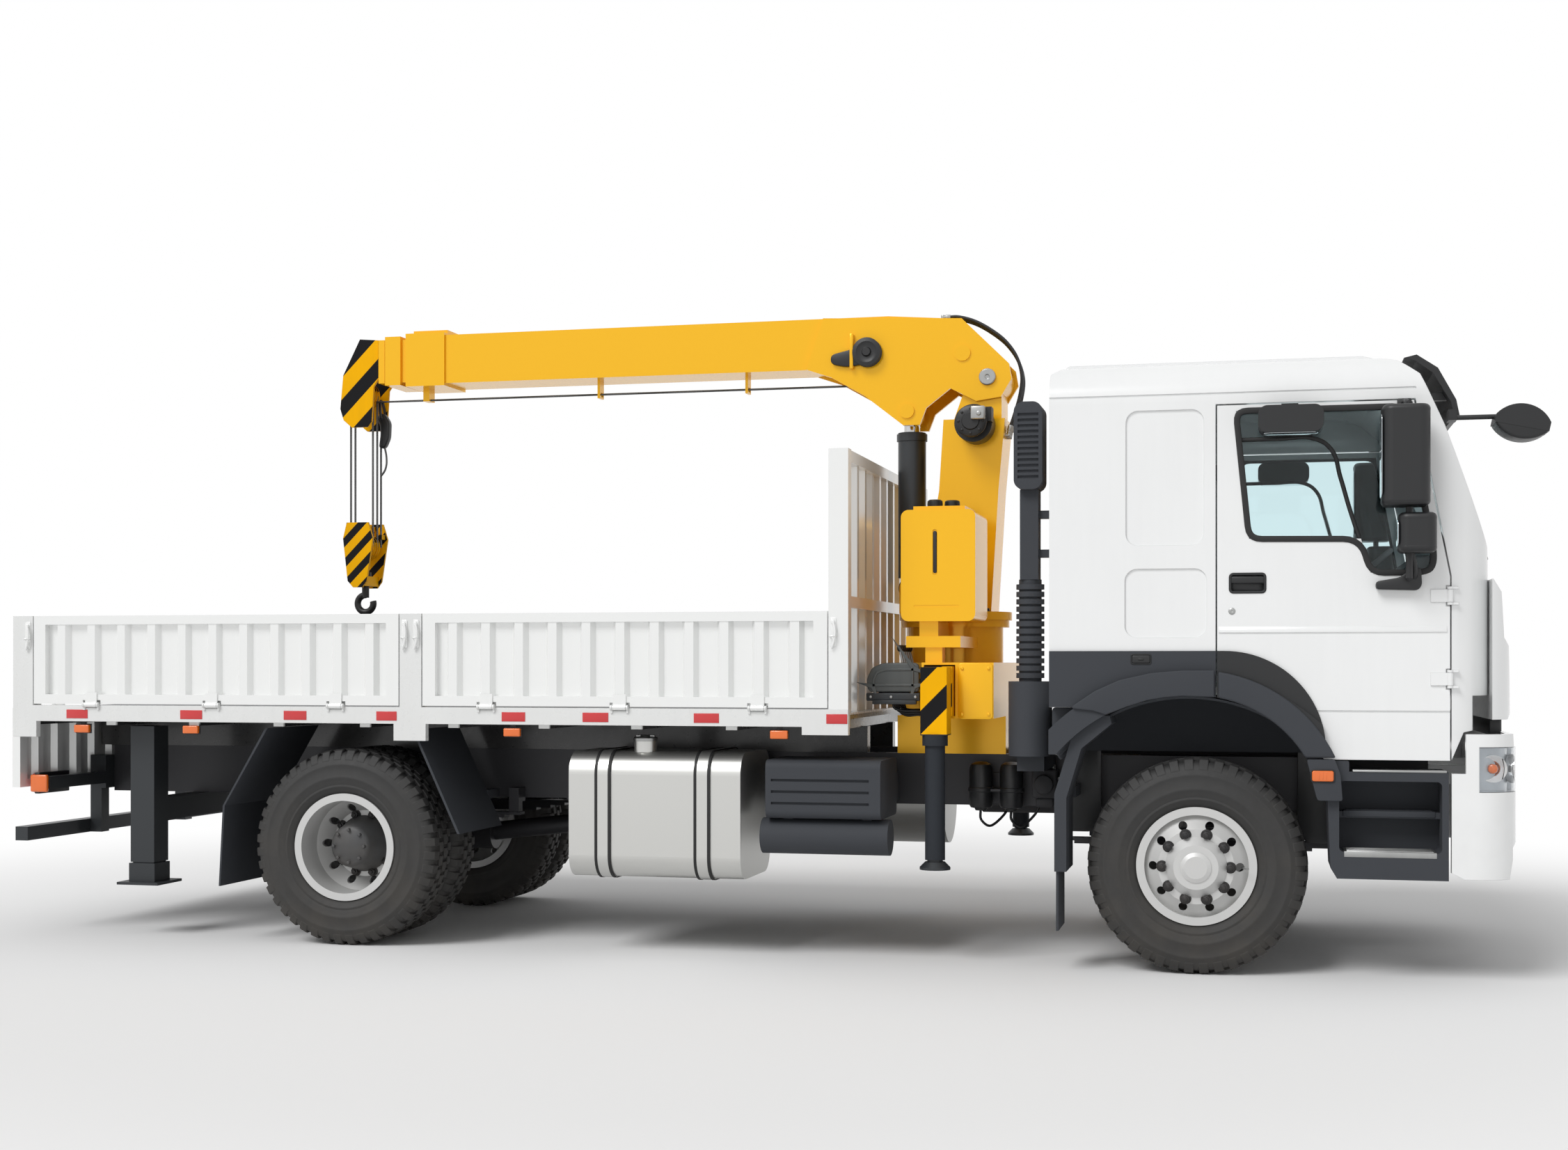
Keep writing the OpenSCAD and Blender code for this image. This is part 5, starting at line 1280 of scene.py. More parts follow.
@dataclass
class DoorTrim:
    """Window rubbers, handles, locks, mirror brackets and mirror glass of the doors."""

    skin: float = 1.245
    rubber: float = 0.03
    pane: float = 0.003
    window: tuple[Flat, ...] = ((4.795, 2.795), (4.858, 2.167), (5.385, 2.160), (5.430, 1.995),
                                (5.700, 1.995), (5.726, 2.060), (5.590, 2.795))
    handle: tuple[float, float, float, float] = (4.760, 4.940, 1.898, 2.001)
    lock: Flat = (4.775, 1.812)
    grip: Flat = (1.948, 1.984)
    swage: tuple[float, float, float] = (4.712, 5.782, 1.706)
    bar: tuple[Flat, ...] = ((4.812, 2.655), (5.0, 2.656), (5.17, 2.652), (5.245, 2.6), (5.29, 2.46),
                             (5.332, 2.31), (5.378, 2.165))
    foot: tuple[Flat, ...] = ((5.452, 1.912), (5.452, 1.95), (5.56, 1.968), (5.628, 2.02), (5.66, 2.014),
                              (5.664, 1.93), (5.646, 1.906))
    housings: tuple[tuple[tuple[float, ...], float, float], ...] = (
        ((5.4695, 5.6905, -1.4949, -1.3045, 0.05), 2.322, 2.758),
        ((5.5445, 5.7205, -1.4755, -1.3045, 0.045), 2.101, 2.247))

    def swages(self) -> None:
        """Makes the pressed line along the door under its handle."""
        x0, x1, z = self.swage
        section = [(0.004 - self.skin, z + 0.034), (-0.0004 - self.skin, z + 0.03),
                   (-0.007 - self.skin, z + 0.004), (-0.006 - self.skin, z), (0.004 - self.skin, z - 0.003)]
        fit_pair(Bench.plate("door_swage_right", section, Plane.CROSS, x0, x1, 0.0012, 2),
                 DOOR_PAIR, CAB_WHITE)

    def mirror_ends(self) -> None:
        """Makes the rounded ends of the two mirror housings on the arm."""
        ends = []
        for (x0, x1, y0, y1, radius), low, high in self.housings:
            shape = round_rect(x0, x1, y0, y1, radius)
            ends.append(Bench.plate("top", shape, Plane.TOP, high - 0.03, high + 0.022, 0.024, 6))
            ends.append(Bench.plate("foot", shape, Plane.TOP, low - 0.022, low + 0.03, 0.024, 6))
        fit_pair(Bench.join("mirror_ends_right", ends), DOOR_PAIR, BLACK)

    def rubbers(self) -> None:
        """Makes the window's rubber frame and the bar that parts its panes."""
        outline = rounded(grown(list(self.window), 0.016), 0.075)
        frame_rubber = Bench.ring("window_rubber_right", outline, Plane.SIDE, 0.022 - self.skin,
                                  -0.006 - self.skin, self.rubber, 0.004)
        fit_pair(frame_rubber, DOOR_PAIR, RUBBER)
        bar = Bench.tube("window_bar_right", [(x, 0.022 - self.skin, z) for x, z in self.bar], 0.011)
        fit_pair(bar, DOOR_PAIR, RUBBER)

    def handles(self) -> None:
        """Makes the handle's bezel, cup and grip, and the lock under it."""
        x0, x1, z0, z1 = self.handle
        bezel = Bench.ring("bezel", round_rect(x0, x1, z0, z1, 0.022), Plane.SIDE, 0.001 - self.skin,
                           -0.004 - self.skin, 0.012)
        cup = Bench.plate("cup", round_rect(x0 + 0.007, x1 - 0.007, z0 + 0.007, z1 - 0.007, 0.014),
                          Plane.SIDE, 0.0222 - self.skin, 0.0205 - self.skin, 0.0005)
        low, high = self.grip
        grip = Bench.block("grip", (x0 + 0.009, -0.0005 - self.skin, low),
                           (x1 - 0.009, 0.0175 - self.skin, high), 0.006, 3)
        fit_pair(Bench.join("door_handle_right", [bezel, cup, grip]), DOOR_PAIR, BLACK)
        section = [(0, 0.002), (0.017, 0.002), (0.017, -0.002), (0.013, -0.0045), (0.0045, -0.0045),
                   (0.003, -0.003), (0, -0.003)]
        lock = Bench.lathe("door_lock_right", section, 24)
        fit_pair(Bench.moved(lock, self.lock[0], -self.skin, self.lock[1]), DOOR_PAIR, BRIGHT)

    def brackets(self) -> None:
        """Makes the arms that carry the mirrors."""
        outline = rounded(list(self.foot), 0.015, 3)
        lower = [(5.63, -1.285, 1.965), (5.625, -1.335, 2.02), (5.605, -1.362, 2.11)]
        upper = [(5.585, -1.25, 2.81), (5.592, -1.315, 2.805), (5.6, -1.362, 2.75)]
        y = -0.001 - self.skin
        pieces = [Bench.plate("foot", outline, Plane.SIDE, y, -0.052 - self.skin, 0.006),
                  Bench.tube("lower_arm", lower, 0.015),
                  Bench.tube("upper_arm", upper, 0.016),
                  Bench.block("root", (5.552, -0.016 - self.skin, 2.775), (5.618, y, 2.832), 0.005)]
        fit_pair(Bench.join("mirror_arms_right", pieces), DOOR_PAIR, BLACK)

    def glass(self) -> None:
        """Makes the reflecting faces of the side mirrors."""
        faces = (((-1.478, -1.322, 2.345, 2.735, 0.03), Plane.CROSS, 5.4705),
                 ((-1.462, -1.318, 2.112, 2.236, 0.03), Plane.CROSS, 5.5455),
                 ((4.925, 5.18, -1.468, -1.312, 0.04), Plane.TOP, 2.6605))
        panes = [Bench.plate("pane", round_rect(*edges), plane, back, back - self.pane, 0.001)
                 for edges, plane, back in faces]
        fit_pair(Bench.join("mirror_faces_right", panes), DOOR_PAIR, MIRROR)

    def build(self) -> None:
        """Builds the trim of both doors."""
        self.swages()
        self.mirror_ends()
        self.rubbers()
        self.handles()
        self.brackets()
        self.glass()


@dataclass
class CabFront:
    """Lamps, grilles and wipers of the cab's front."""

    panel_x: float = 6.046
    corner: tuple[float, float, float] = (5.915, -1.045, 0.2)
    mirror_at: Point = (6.133, -1.12, 2.725)
    mirror_half: float = 0.1245
    mirror_sag: float = 0.056
    lamp_end: float = -0.802
    lamp_height: Flat = (0.9385, 1.1525)
    lamp_ribs: Flat = (-0.986, -0.83)
    bowl_x: float = 6.09
    bowls_y: Flat = (-0.906, -1.06)
    blinker: Flat = (5.995, -1.19)
    fog_at: Point = (6.094, -0.8, 0.83)
    slots: int = 4
    slot_pitch: float = 0.076
    slot_z: float = 1.345
    slot_half: float = 0.716
    wiper_z: tuple[float, float, float] = (2.165, 2.2, 2.232)

    @staticmethod
    def screen_x(z: float) -> float:
        """Returns where the windscreen's outer face lies at a height."""
        return 5.9593 - 0.3652 * (z - 2.15)

    def front_mirror(self) -> None:
        """Makes the rounded belly of the front mirror."""
        half, sag, edge = self.mirror_half, self.mirror_sag, -0.04
        radius = (half * half + sag * sag) / (2 * sag)
        turn = math.asin(half / radius)
        turns = [turn * step / 8 for step in range(-8, 9)]
        belly = [(radius * math.sin(angle), edge - sag + radius - radius * math.cos(angle))
                 for angle in turns]
        outline = [(-half, -0.012), *belly, (half, -0.012)]
        piece = Bench.plate("front_mirror_belly", outline, Plane.SIDE, -0.099, 0.099, 0.014, 4)
        x, y, z = self.mirror_at
        fit(Bench.moved(Bench.turned(piece, 12, "Y"), x, y, z), "chassis", BLACK)

    def lamp_line(self, inset: float) -> list[Flat]:
        """Returns the line of a headlamp round the bumper's corner, at a depth under its skin."""
        x, y, radius = self.corner
        turns = [math.radians(angle) for angle in (*range(-86, 0, 6), 0)]
        arc = [(x + (radius - inset) * math.cos(turn), y + (radius - inset) * math.sin(turn))
               for turn in turns]
        return [*arc, (x + radius - inset, self.lamp_end)]

    def lamp_band(self, name: str, near: float, far: float, low: float, high: float) -> Piece:
        """Makes a wall of a headlamp.

        Args:
            name: Name of the piece.
            near: Depth of its outer face under the bumper's skin.
            far: Depth of its inner face.
            low: Height of its lower edge.
            high: Height of its upper edge.

        Returns:
            The piece.
        """
        points = [*self.lamp_line(near), *reversed(self.lamp_line(far))]
        return Bench.plate(name, points, Plane.TOP, low, high, 0.0008, 1)

    def lamp_bodies(self) -> None:
        """Makes the headlamps' bright bodies and clear shells."""
        low, high = self.lamp_height
        body = [self.lamp_band("back", 0.04, 0.047, low, high),
                self.lamp_band("floor", 0.007, 0.041, low, low + 0.004),
                self.lamp_band("roof", 0.007, 0.041, high - 0.004, high)]
        body += [Bench.block("rib", (6.07, y, low + 0.003), (6.106, y + 0.004, high - 0.003), 0.001, 1)
                 for y in self.lamp_ribs]
        right = Bench.join("headlamp_body_right", body)
        left = Bench.mirrored(right, "headlamp_body_left")
        fit(right, "chassis", LENS, "lamps")
        fit(left, "chassis", LENS)
        shell = self.lamp_band("headlamp_shell_right", 0.001, 0.006, low + 0.0005, high - 0.0005)
        fit_pair(shell, CHASSIS_PAIR, CLEAR)

    def lamp_bowls(self) -> None:
        """Makes the bowls, bulbs and blinkers behind the headlamps' shells."""
        middle = sum(self.lamp_height) / 2
        section = [(0, 0.024), (0.02, 0.022), (0.05, 0.008), (0.067, -0.012), (0.071, -0.012), (0.069, 0.004),
                   (0.052, 0.026), (0, 0.03)]
        bowl = Bench.turned(Bench.lathe("bowl", section, 40), 90, "Z")
        section = [(0, 0.024), (0.02, 0.024), (0.02, 0.004), (0.014, -0.006), (0, -0.009)]
        bulb = Bench.turned(Bench.lathe("bulb", section, 24), 90, "Z")
        bowls = Bench.spread("bowls", bowl, [(self.bowl_x, y, middle) for y in self.bowls_y])
        bulbs = Bench.spread("headlamp_bulbs_right", bulb,
                             [(self.bowl_x - 0.002, y, middle) for y in self.bowls_y])
        section = [(0, 0.012), (0.03, 0.01), (0.062, -0.012), (0.066, -0.012), (0.06, 0.014), (0, 0.016)]
        x, y, z = *self.blinker, middle + 0.004
        side = Bench.moved(Bench.lathe("side_bowl", section, 36), x, y + 0.004, z)
        fit_pair(Bench.join("headlamp_bowls_right", [bowls, side]), CHASSIS_PAIR, CHROME)
        fit_pair(bulbs, CHASSIS_PAIR, MIRROR)
        section = [(0, 0.006), (0.02, 0.004), (0.024, -0.004), (0.02, -0.016), (0.01, -0.021), (0, -0.022)]
        fit_pair(Bench.moved(Bench.lathe("blinker_right", section, 28), x, y, z), CHASSIS_PAIR, AMBER)

    def fog_lamps(self) -> None:
        """Makes the lenses of the fog lamps."""
        section = [(0, 0.004), (0.05, 0.004), (0.05, -0.008), (0.044, -0.012), (0.02, -0.016), (0, -0.017)]
        lens = Bench.turned(Bench.lathe("fog_lamp_right", section, 32), 90, "Z")
        fit_pair(Bench.moved(lens, *self.fog_at), CHASSIS_PAIR, LENS)

    def grilles(self) -> None:
        """Makes the dark meshes behind the slots of the panel and the bumper."""
        bars: list[Piece] = []
        x, half = self.panel_x, self.slot_half
        for index in range(self.slots):
            z = self.slot_z + index * self.slot_pitch
            bars.append(Bench.block("back", (x, -half, z + 0.002), (x + 0.004, half, z + 0.046), 0))
            bars += [Bench.block("fin", (x + 0.003, y, z + 0.004), (x + 0.02, y + 0.006, z + 0.044), 0.001, 1)
                     for y in [-0.69 + 0.06 * step for step in range(24)]]
        fit(Bench.join("panel_grille", bars), "chassis", BLACK)
        mesh = [Bench.block("rung", (6.022, -0.556, z), (6.03, 0.556, z + 0.008), 0.001, 1)
                for z in (0.775, 0.81, 0.845, 0.88)]
        mesh += [Bench.block("post", (6.026, y, 0.758), (6.036, y + 0.01, 0.902), 0.001, 1)
                 for y in [-0.553 + 0.0912 * step for step in range(13)]]
        fit(Bench.join("bumper_grille", mesh), "chassis", BLACK)
        bar = [Bench.block("bar", (5.996, -1.02, 1.205), (6.052, 1.02, 1.2845), 0.008, 3)]
        bar += [Bench.block("web", (6.048, y, 1.222), (6.06, y + 0.02, 1.282), 0.003)
                for y in [-0.97 + 0.24 * step for step in range(9)]]
        fit(Bench.join("front_crossbar", bar), "chassis", BLACK)

    def wipers(self) -> None:
        """Makes two wipers that rest on the windscreen's lower edge."""
        for word, pivot in (("right", -0.62), ("left", 0.18)):
            boss = Bench.rod("boss", (5.985, pivot, 2.085), (6.03, pivot, 2.1), 0.019)
            reach = pivot + 0.46
            tip = Vector((self.screen_x(2.205) + 0.026, reach, 2.205))
            arm = Bench.tube("arm", [(6.022, pivot, 2.098), (6.012, pivot + 0.16, 2.14), tuple(tip)], 0.007)
            places = zip((0.009, 0.011, 0.009), (reach - 0.33, reach, reach + 0.27), self.wiper_z)
            blade = Bench.tube("blade", [(self.screen_x(z) + off, y, z) for off, y, z in places], 0.0085)
            saddle = Bench.block("saddle", tip - Vector((0.02, 0.03, 0.012)),
                                 tip + Vector((0.006, 0.03, 0.012)))
            fit(Bench.join(f"wiper_{word}", [boss, arm, blade, saddle]), "chassis", BLACK)

    def build(self) -> None:
        """Builds the front."""
        self.front_mirror()
        self.lamp_bodies()
        self.lamp_bowls()
        self.fog_lamps()
        self.grilles()
        self.wipers()


@dataclass
class WheelArches:
    """Round flares over the front arches, their feet with the side lamps, and panels that close the arch."""

    centre: Flat = (4.6, 0.788)
    inner: float = 0.608
    outer: float = 0.735
    face: float = 1.282
    crown: float = 0.018
    door_x: float = 4.71
    door_z: float = 1.098
    lamp: tuple[float, float, float, float] = (5.148, 5.262, 0.978, 1.042)
    rear: tuple[Flat, ...] = ((4.692, 1.521), (4.541, 1.521), (4.385, 1.508), (4.228, 1.472), (4.11, 1.418),
                              (4.0, 1.343), (4.0, 1.33), (4.1, 1.32), (4.165, 1.3), (4.267, 1.34),
                              (4.365, 1.372), (4.45, 1.387), (4.541, 1.395), (4.692, 1.389))
    # Depth across the truck of the black sheets that paint the shade seen through the arch.
    shield: Flat = (-0.602, -0.592)

    def arc(self, radius: float) -> list[Flat]:
        """Returns the part of a circle round the wheel that crosses the door, from its rear edge down."""
        x, z = self.centre
        first = math.acos((self.door_x - x) / radius)
        last = math.asin((self.door_z - z) / radius)
        turns = [first + (last - first) * step / 14 for step in range(15)]
        return [(x + radius * math.cos(turn), z + radius * math.sin(turn)) for turn in turns]

    def flares(self) -> None:
        """Makes the flares of the cab's side and of the door."""
        on_door = [*self.arc(self.outer), *reversed(self.arc(self.inner))]
        flares = (("cab_flare_right", list(self.rear), CHASSIS_PAIR),
                  ("door_flare_right", on_door, DOOR_PAIR))
        for name, outline, pair in flares:
            flare = Bench.plate(name, outline, Plane.SIDE, -self.face + 0.004,
                                -self.face - self.crown, 0.015, 5)
            fit_pair(flare, pair, PLASTIC)

    def feet(self) -> None:
        """Makes the foot under the door's flare, and the amber lamp on it."""
        outline = rounded([(5.13, 1.09), (5.262, 1.09), (5.288, 1.02), (5.298, 0.89), (5.18, 0.89),
                           (5.152, 1.0)], 0.012, 3)
        y = -self.face - 0.008
        foot = Bench.plate("arch_foot_right", outline, Plane.SIDE, -1.1, y, 0.012, 4)
        fit_pair(foot, CHASSIS_PAIR, PLASTIC)
        x0, x1, z0, z1 = self.lamp
        edge = round_rect(x0 + 0.006, x1 - 0.006, z0 + 0.006, z1 - 0.006, 0.01)
        lens = Bench.plate("lens", edge, Plane.SIDE, y + 0.001, y - 0.014, 0.007, 3)
        ribs = [Bench.rod("rib", (x, y - 0.0125, z0 + 0.015), (x, y - 0.0125, z1 - 0.015), 0.003, 10, 0.001)
                for x in (x0 + 0.04, x0 + 0.057, x0 + 0.074)]
        fit_pair(Bench.join("arch_lamp_right", [lens, *ribs]), CHASSIS_PAIR, AMBER)
        edge = round_rect(x0, x1, z0, z1, 0.014)
        bezel = Bench.ring("arch_lamp_bezel_right", edge, Plane.SIDE, y + 0.002, y - 0.006, 0.007, 0.002)
        fit_pair(bezel, CHASSIS_PAIR, BLACK)

    def closings(self) -> None:
        """Makes the panels that close the arch, the lid in the trim over it, and black sheets that paint the
        shade seen through the arch.
        """
        outline = rounded([(3.886, 1.334), (3.885, 1.13), (3.93, 1.06), (3.985, 1.12), (4.06, 1.24),
                           (4.03, 1.334)], 0.02, 3)
        fit_pair(Bench.plate("arch_closing_right", outline, Plane.SIDE, -1.16, -1.12, 0.006),
                 CHASSIS_PAIR, PLASTIC)
        lid = Bench.plate("lid", round_rect(4.291, 4.379, 1.556, 1.596, 0.008), Plane.SIDE,
                          -1.25, -1.263, 0.004, 3)
        grip = Bench.block("grip", (4.322, -1.266, 1.571), (4.348, -1.261, 1.581), 0.002)
        seat = Bench.ring("seat", round_rect(4.284, 4.386, 1.549, 1.603, 0.012), Plane.SIDE, -1.25,
                          -1.2605, 0.006, 0.002)
        fit_pair(Bench.join("trim_lid_right", [lid, grip, seat]), CHASSIS_PAIR, BLACK)
        front = rounded([(5.1, 1.12), (5.1, 0.72), (5.14, 0.62), (5.34, 0.62), (5.34, 1.12)], 0.03, 3)
        rear = rounded([(3.9, 1.12), (3.9, 0.66), (4.05, 0.66), (4.09, 0.74), (4.09, 1.12)], 0.03, 3)
        # Painted shade: black sheets inboard of the wheel, ahead of it and behind it, stand in for the shade
        # under the cab seen through the arch.
        for word, shape in (("front", front), ("rear", rear)):
            shield = Bench.plate(f"splash_shield_{word}_right", shape, Plane.SIDE, *self.shield, 0.003)
            fit_pair(shield, CHASSIS_PAIR, BLACK)

    def build(self) -> None:
        """Builds the arches of both sides."""
        self.flares()
        self.feet()
        self.closings()


@dataclass
class FlatbedFittings:
    """Reflectors, marker lamps, latches, tail lenses and the floor sheet of the flatbed."""

    rail_y: float = 1.25
    reflectors: tuple[Flat, ...] = ((-1.685, -1.55), (-0.967, -0.831), (-0.332, -0.195), (0.222, 0.342),
                                    (0.951, 1.085), (1.409, 1.553), (2.024, 2.161), (2.735, 2.846))
    strip_z: Flat = (1.244, 1.294)
    markers: tuple[float, ...] = (-1.6, -0.914, 1.002, 2.479)
    latches: tuple[float, ...] = (-1.932, 0.388, 0.456, 2.772)
    tail_lenses: tuple[tuple[str, float, float, Finish], ...] = (
        ("reverse", 0.803, 0.893, LENS), ("turn", 0.895, 0.985, AMBER), ("stop", 0.987, 1.092, RED))

    def lenses(self) -> None:
        """Makes the red strips on the rails and the amber lamps under them."""
        low, high = self.strip_z
        strips = [Bench.block("strip", (x0, -self.rail_y - 0.003, low), (x1, -self.rail_y + 0.001, high),
                              0.0015) for x0, x1 in self.reflectors]
        fit_pair(Bench.join("rail_reflectors_right", strips), CHASSIS_PAIR, RED)
        lamps, holders = [], []
        for x in self.markers:
            lamps.append(Bench.block("lamp", (x - 0.047, -1.24, 1.163), (x + 0.047, -1.214, 1.207), 0.006, 3))
            holders.append(Bench.block("holder", (x - 0.05, -1.216, 1.158), (x + 0.05, -1.208, 1.213), 0.002))
            holders.append(Bench.block("tab", (x - 0.016, -1.214, 1.2), (x + 0.016, -1.209, 1.229), 0.001))
        fit_pair(Bench.join("marker_lamps_right", lamps), CHASSIS_PAIR, AMBER)
        fit_pair(Bench.join("marker_holders_right", holders), CHASSIS_PAIR, BLACK)

    def latch_levers(self) -> None:
        """Makes the latches at the ends of the boards."""
        parts: list[Piece] = []
        y = -self.rail_y
        for x in self.latches:
            base = round_rect(x - 0.017, x + 0.017, 1.64, 1.792, 0.008)
            lever = [(x, y - 0.013, 1.775), (x + 0.012, y - 0.02, 1.73), (x + 0.004, y - 0.018, 1.66),
                     (x - 0.008, y - 0.012, 1.632)]
            keeper = [(x - 0.014, y - 0.003, 1.69), (x - 0.012, y - 0.024, 1.695),
                      (x + 0.014, y - 0.024, 1.695), (x + 0.015, y - 0.003, 1.69)]
            parts += [Bench.plate("base", base, Plane.SIDE, y + 0.001, y - 0.005),
                      Bench.rod("pivot", (x, y - 0.004, 1.77), (x, y - 0.019, 1.77), 0.011, 16),
                      Bench.tube("lever", lever, 0.0065),
                      Bench.tube("keeper", keeper, 0.004)]
        fit_pair(Bench.join("board_latches_right", parts), CHASSIS_PAIR, WHITE)

    def tail(self) -> None:
        """Makes the three lenses of each tail lamp."""
        corner = Bench.block("tail_side_right", (-2.014, -1.116, 0.812), (-1.905, -1.09, 0.912), 0.009, 3)
        fit_pair(corner, CHASSIS_PAIR, AMBER)
        base = Bench.block("tail_base_right", (-2.0, -1.095, 0.8005), (-1.9645, -0.798, 0.923), 0.006, 3)
        fit_pair(base, CHASSIS_PAIR, BLACK)
        for word, low, high, finish in self.tail_lenses:
            lens = Bench.block(f"tail_{word}_right", (-2.016, -high, 0.808), (-1.975, -low, 0.916), 0.008, 3)
            fit_pair(lens, CHASSIS_PAIR, finish)

    def floor(self) -> None:
        """Makes the sheet steel of the bed."""
        sheet = Bench.block("deck_sheet", (-1.886, -1.155, 1.3041), (2.735, 1.155, 1.3071), 0.001, 1)
        fit(sheet, "chassis", DECK)

    def build(self) -> None:
        """Builds the fittings."""
        self.lenses()
        self.latch_levers()
        self.tail()
        self.floor()


@dataclass
class TankTrim:
    """Strap edges and filler of the fuel tank."""

    straps: tuple[Flat, ...] = ((1.465, 1.549), (2.014, 2.098))
    box: tuple[float, float, float, float] = (-1.205, -0.56, 0.413, 1.084)
    lift: float = 0.0095
    lid_at: Point = (1.7, -1.06, 1.139)

    def build(self) -> None:
        """Makes two rubber edges on each strap, and the filler's lid."""
        y0, y1, z0, z1 = self.box
        outline = round_rect(y0 - self.lift, y1 + self.lift, z0 - self.lift, z1 + self.lift, 0.1295, 8)
        edges = [Bench.ring("edge", outline, Plane.CROSS, x, x + 0.016, 0.006, 0.0015)
                 for low, high in self.straps for x in (low - 0.003, high - 0.013)]
        fit(Bench.join("tank_strap_edges", edges), "chassis", RUBBER)
        section = [(0, 0.0), (0.066, 0.0), (0.066, 0.016), (0.06, 0.022), (0.03, 0.024),
                   (0.026, 0.03), (0, 0.03)]
        lid = Bench.lathe("lid", section, 32)
        rib = Bench.block("rib", (-0.052, 0.02, -0.008), (0.052, 0.034, 0.008), 0.003)
        cap = Bench.turned(Bench.join("tank_lid", [lid, rib]), 90, "X")
        fit(Bench.moved(cap, *self.lid_at), "chassis", BRIGHT)


@dataclass
class CraneFittings:
    """Reel, pins, gauges, winch cover and the standing rope of the crane."""

    boom_skin: float = 0.172
    reel: Flat = (2.742, 3.322)
    pivot: Flat = (3.425, 3.162)
    fork_skin: float = 0.182
    winch: Flat = (3.364, 2.889)
    winch_skin: float = 0.403
    oil_y: float = 0.95
    breathers: tuple[Point, ...] = ((3.2, -0.62, 2.383), (3.285, -0.56, 2.383))
    rope_y: float = -0.018
    rope_z: float = 3.158
    tube_end: float = 0.94
    tubes: tuple[tuple[Side, float], ...] = ((Side.RIGHT, 3.465), (Side.LEFT, 3.275))
    slew_x: float = 3.22
    ring_radius: float = 0.293
    ring_bolts: int = 28
    ring_z: float = 1.846
    ring_gap: float = 0.2
    standing: tuple[tuple[str, float, float, float], ...] = (
        ("boom", -0.06, 2.72, 0.0062), ("boom_2", -0.12, 2.5, 0.006), ("boom_3", -0.2, 2.45, 0.0058),
        ("boom_4", -0.36, 2.4, 0.0056))

    def cable_reel(self) -> None:
        """Makes the cable reel on the boom's right cheek."""
        x, z = self.reel
        y = -self.boom_skin
        section = [(0, 0.002), (0.082, 0.002), (0.082, -0.006), (0.07, -0.01), (0.07, -0.036), (0.082, -0.04),
                   (0.082, -0.047), (0.06, -0.052), (0.05, -0.046), (0.028, -0.046),
                   (0.022, -0.058), (0, -0.058)]
        drum = Bench.moved(Bench.lathe("drum", section, 40), x, y, z)
        guard = rounded([(2.53, 3.262), (2.53, 3.315), (2.66, 3.345), (2.705, 3.402), (2.775, 3.405),
                         (2.76, 3.33), (2.72, 3.255), (2.62, 3.243)], 0.03, 4)
        cover = Bench.plate("cover", guard, Plane.SIDE, y + 0.001, y - 0.028, 0.006)
        fit(Bench.join("cable_reel", [drum, cover]), "boom", BLACK)
        strap = Bench.block("reel_strap", (2.642, y - 0.036, 3.232), (2.662, y + 0.001, 3.43), 0.003)
        fit(strap, "boom", YELLOW)

    def pins(self) -> None:
        """Makes the keeper plates of the luffing pin."""
        x, z = self.pivot
        section = [(0, 0.002), (0.047, 0.002), (0.047, -0.006), (0.042, -0.01), (0.014, -0.01),
                   (0.01, -0.006), (0, -0.006)]
        cap = Bench.moved(Bench.lathe("luff_pin_right", section, 32), x, -self.fork_skin, z)
        fit_pair(cap, {side: "slewing_column" for side in Side}, BRIGHT)

    def winch_cover(self) -> None:
        """Makes the winch's motor cover, its screws and its bright valve."""
        x, z = self.winch
        section = [(0, 0.004), (0.088, 0.004), (0.088, -0.008), (0.08, -0.014), (0.05, -0.016),
                   (0.046, -0.024), (0, -0.024)]
        ring = Bench.lathe("ring", section, 40)
        screw = Bench.moved(Bench.rod("screw", (0, -0.008, 0), (0, -0.021, 0), 0.007, 6, 0.001), x=0.068)
        cover = Bench.moved(Bench.join("winch_cover", [ring, Bench.around(screw, 8)]), x, -self.winch_skin, z)
        fit(cover, "slewing_column", BLACK)
        valve = Bench.block("valve", (x + 0.004, -0.452, z + 0.004), (x + 0.082, -0.38, z + 0.078), 0.008, 3)
        port = Bench.rod("port", (x + 0.05, -0.45, z + 0.036), (x + 0.05, -0.466, z + 0.036), 0.013, 6)
        fit(Bench.join("winch_valve", [valve, port]), "slewing_column", BRIGHT)

    def oil_tank(self) -> None:
        """Makes the oil tank's sight gauge and breathers."""
        glass = Bench.plate("oil_gauge", round_rect(3.243, 3.261, 2.03, 2.25, 0.008), Plane.SIDE,
                            0.012 - self.oil_y, -0.002 - self.oil_y, 0.001)
        fit(glass, "chassis", RUBBER)
        section = [(0, 0.0), (0.026, 0.0), (0.026, 0.012), (0.04, 0.016), (0.042, 0.034), (0.04, 0.052),
                   (0.03, 0.058), (0, 0.058)]
        cap = Bench.turned(Bench.lathe("cap", section, 28), 90, "X")
        fit(Bench.spread("oil_breathers", cap, list(self.breathers)), "chassis", BLACK)

    def tube_caps(self) -> None:
        """Makes the covers that close the inner end of each outrigger tube."""
        for side, middle in self.tubes:
            way = side.value
            y = way * self.tube_end
            outline = round_rect(middle - 0.092, middle + 0.092, 1.264, 1.556, 0.02)
            cover = Bench.plate("cover", outline, Plane.SIDE, y, y + way * 0.008, 0.003)
            screws = [Bench.rod("screw", (x, y + way * 0.007, z), (x, y + way * 0.016, z), 0.009, 6, 0.001)
                      for x in (middle - 0.07, middle + 0.07) for z in (1.29, 1.53)]
            fit(Bench.join(f"tube_cover_{side.word}", [cover, *screws]), "chassis", YELLOW)

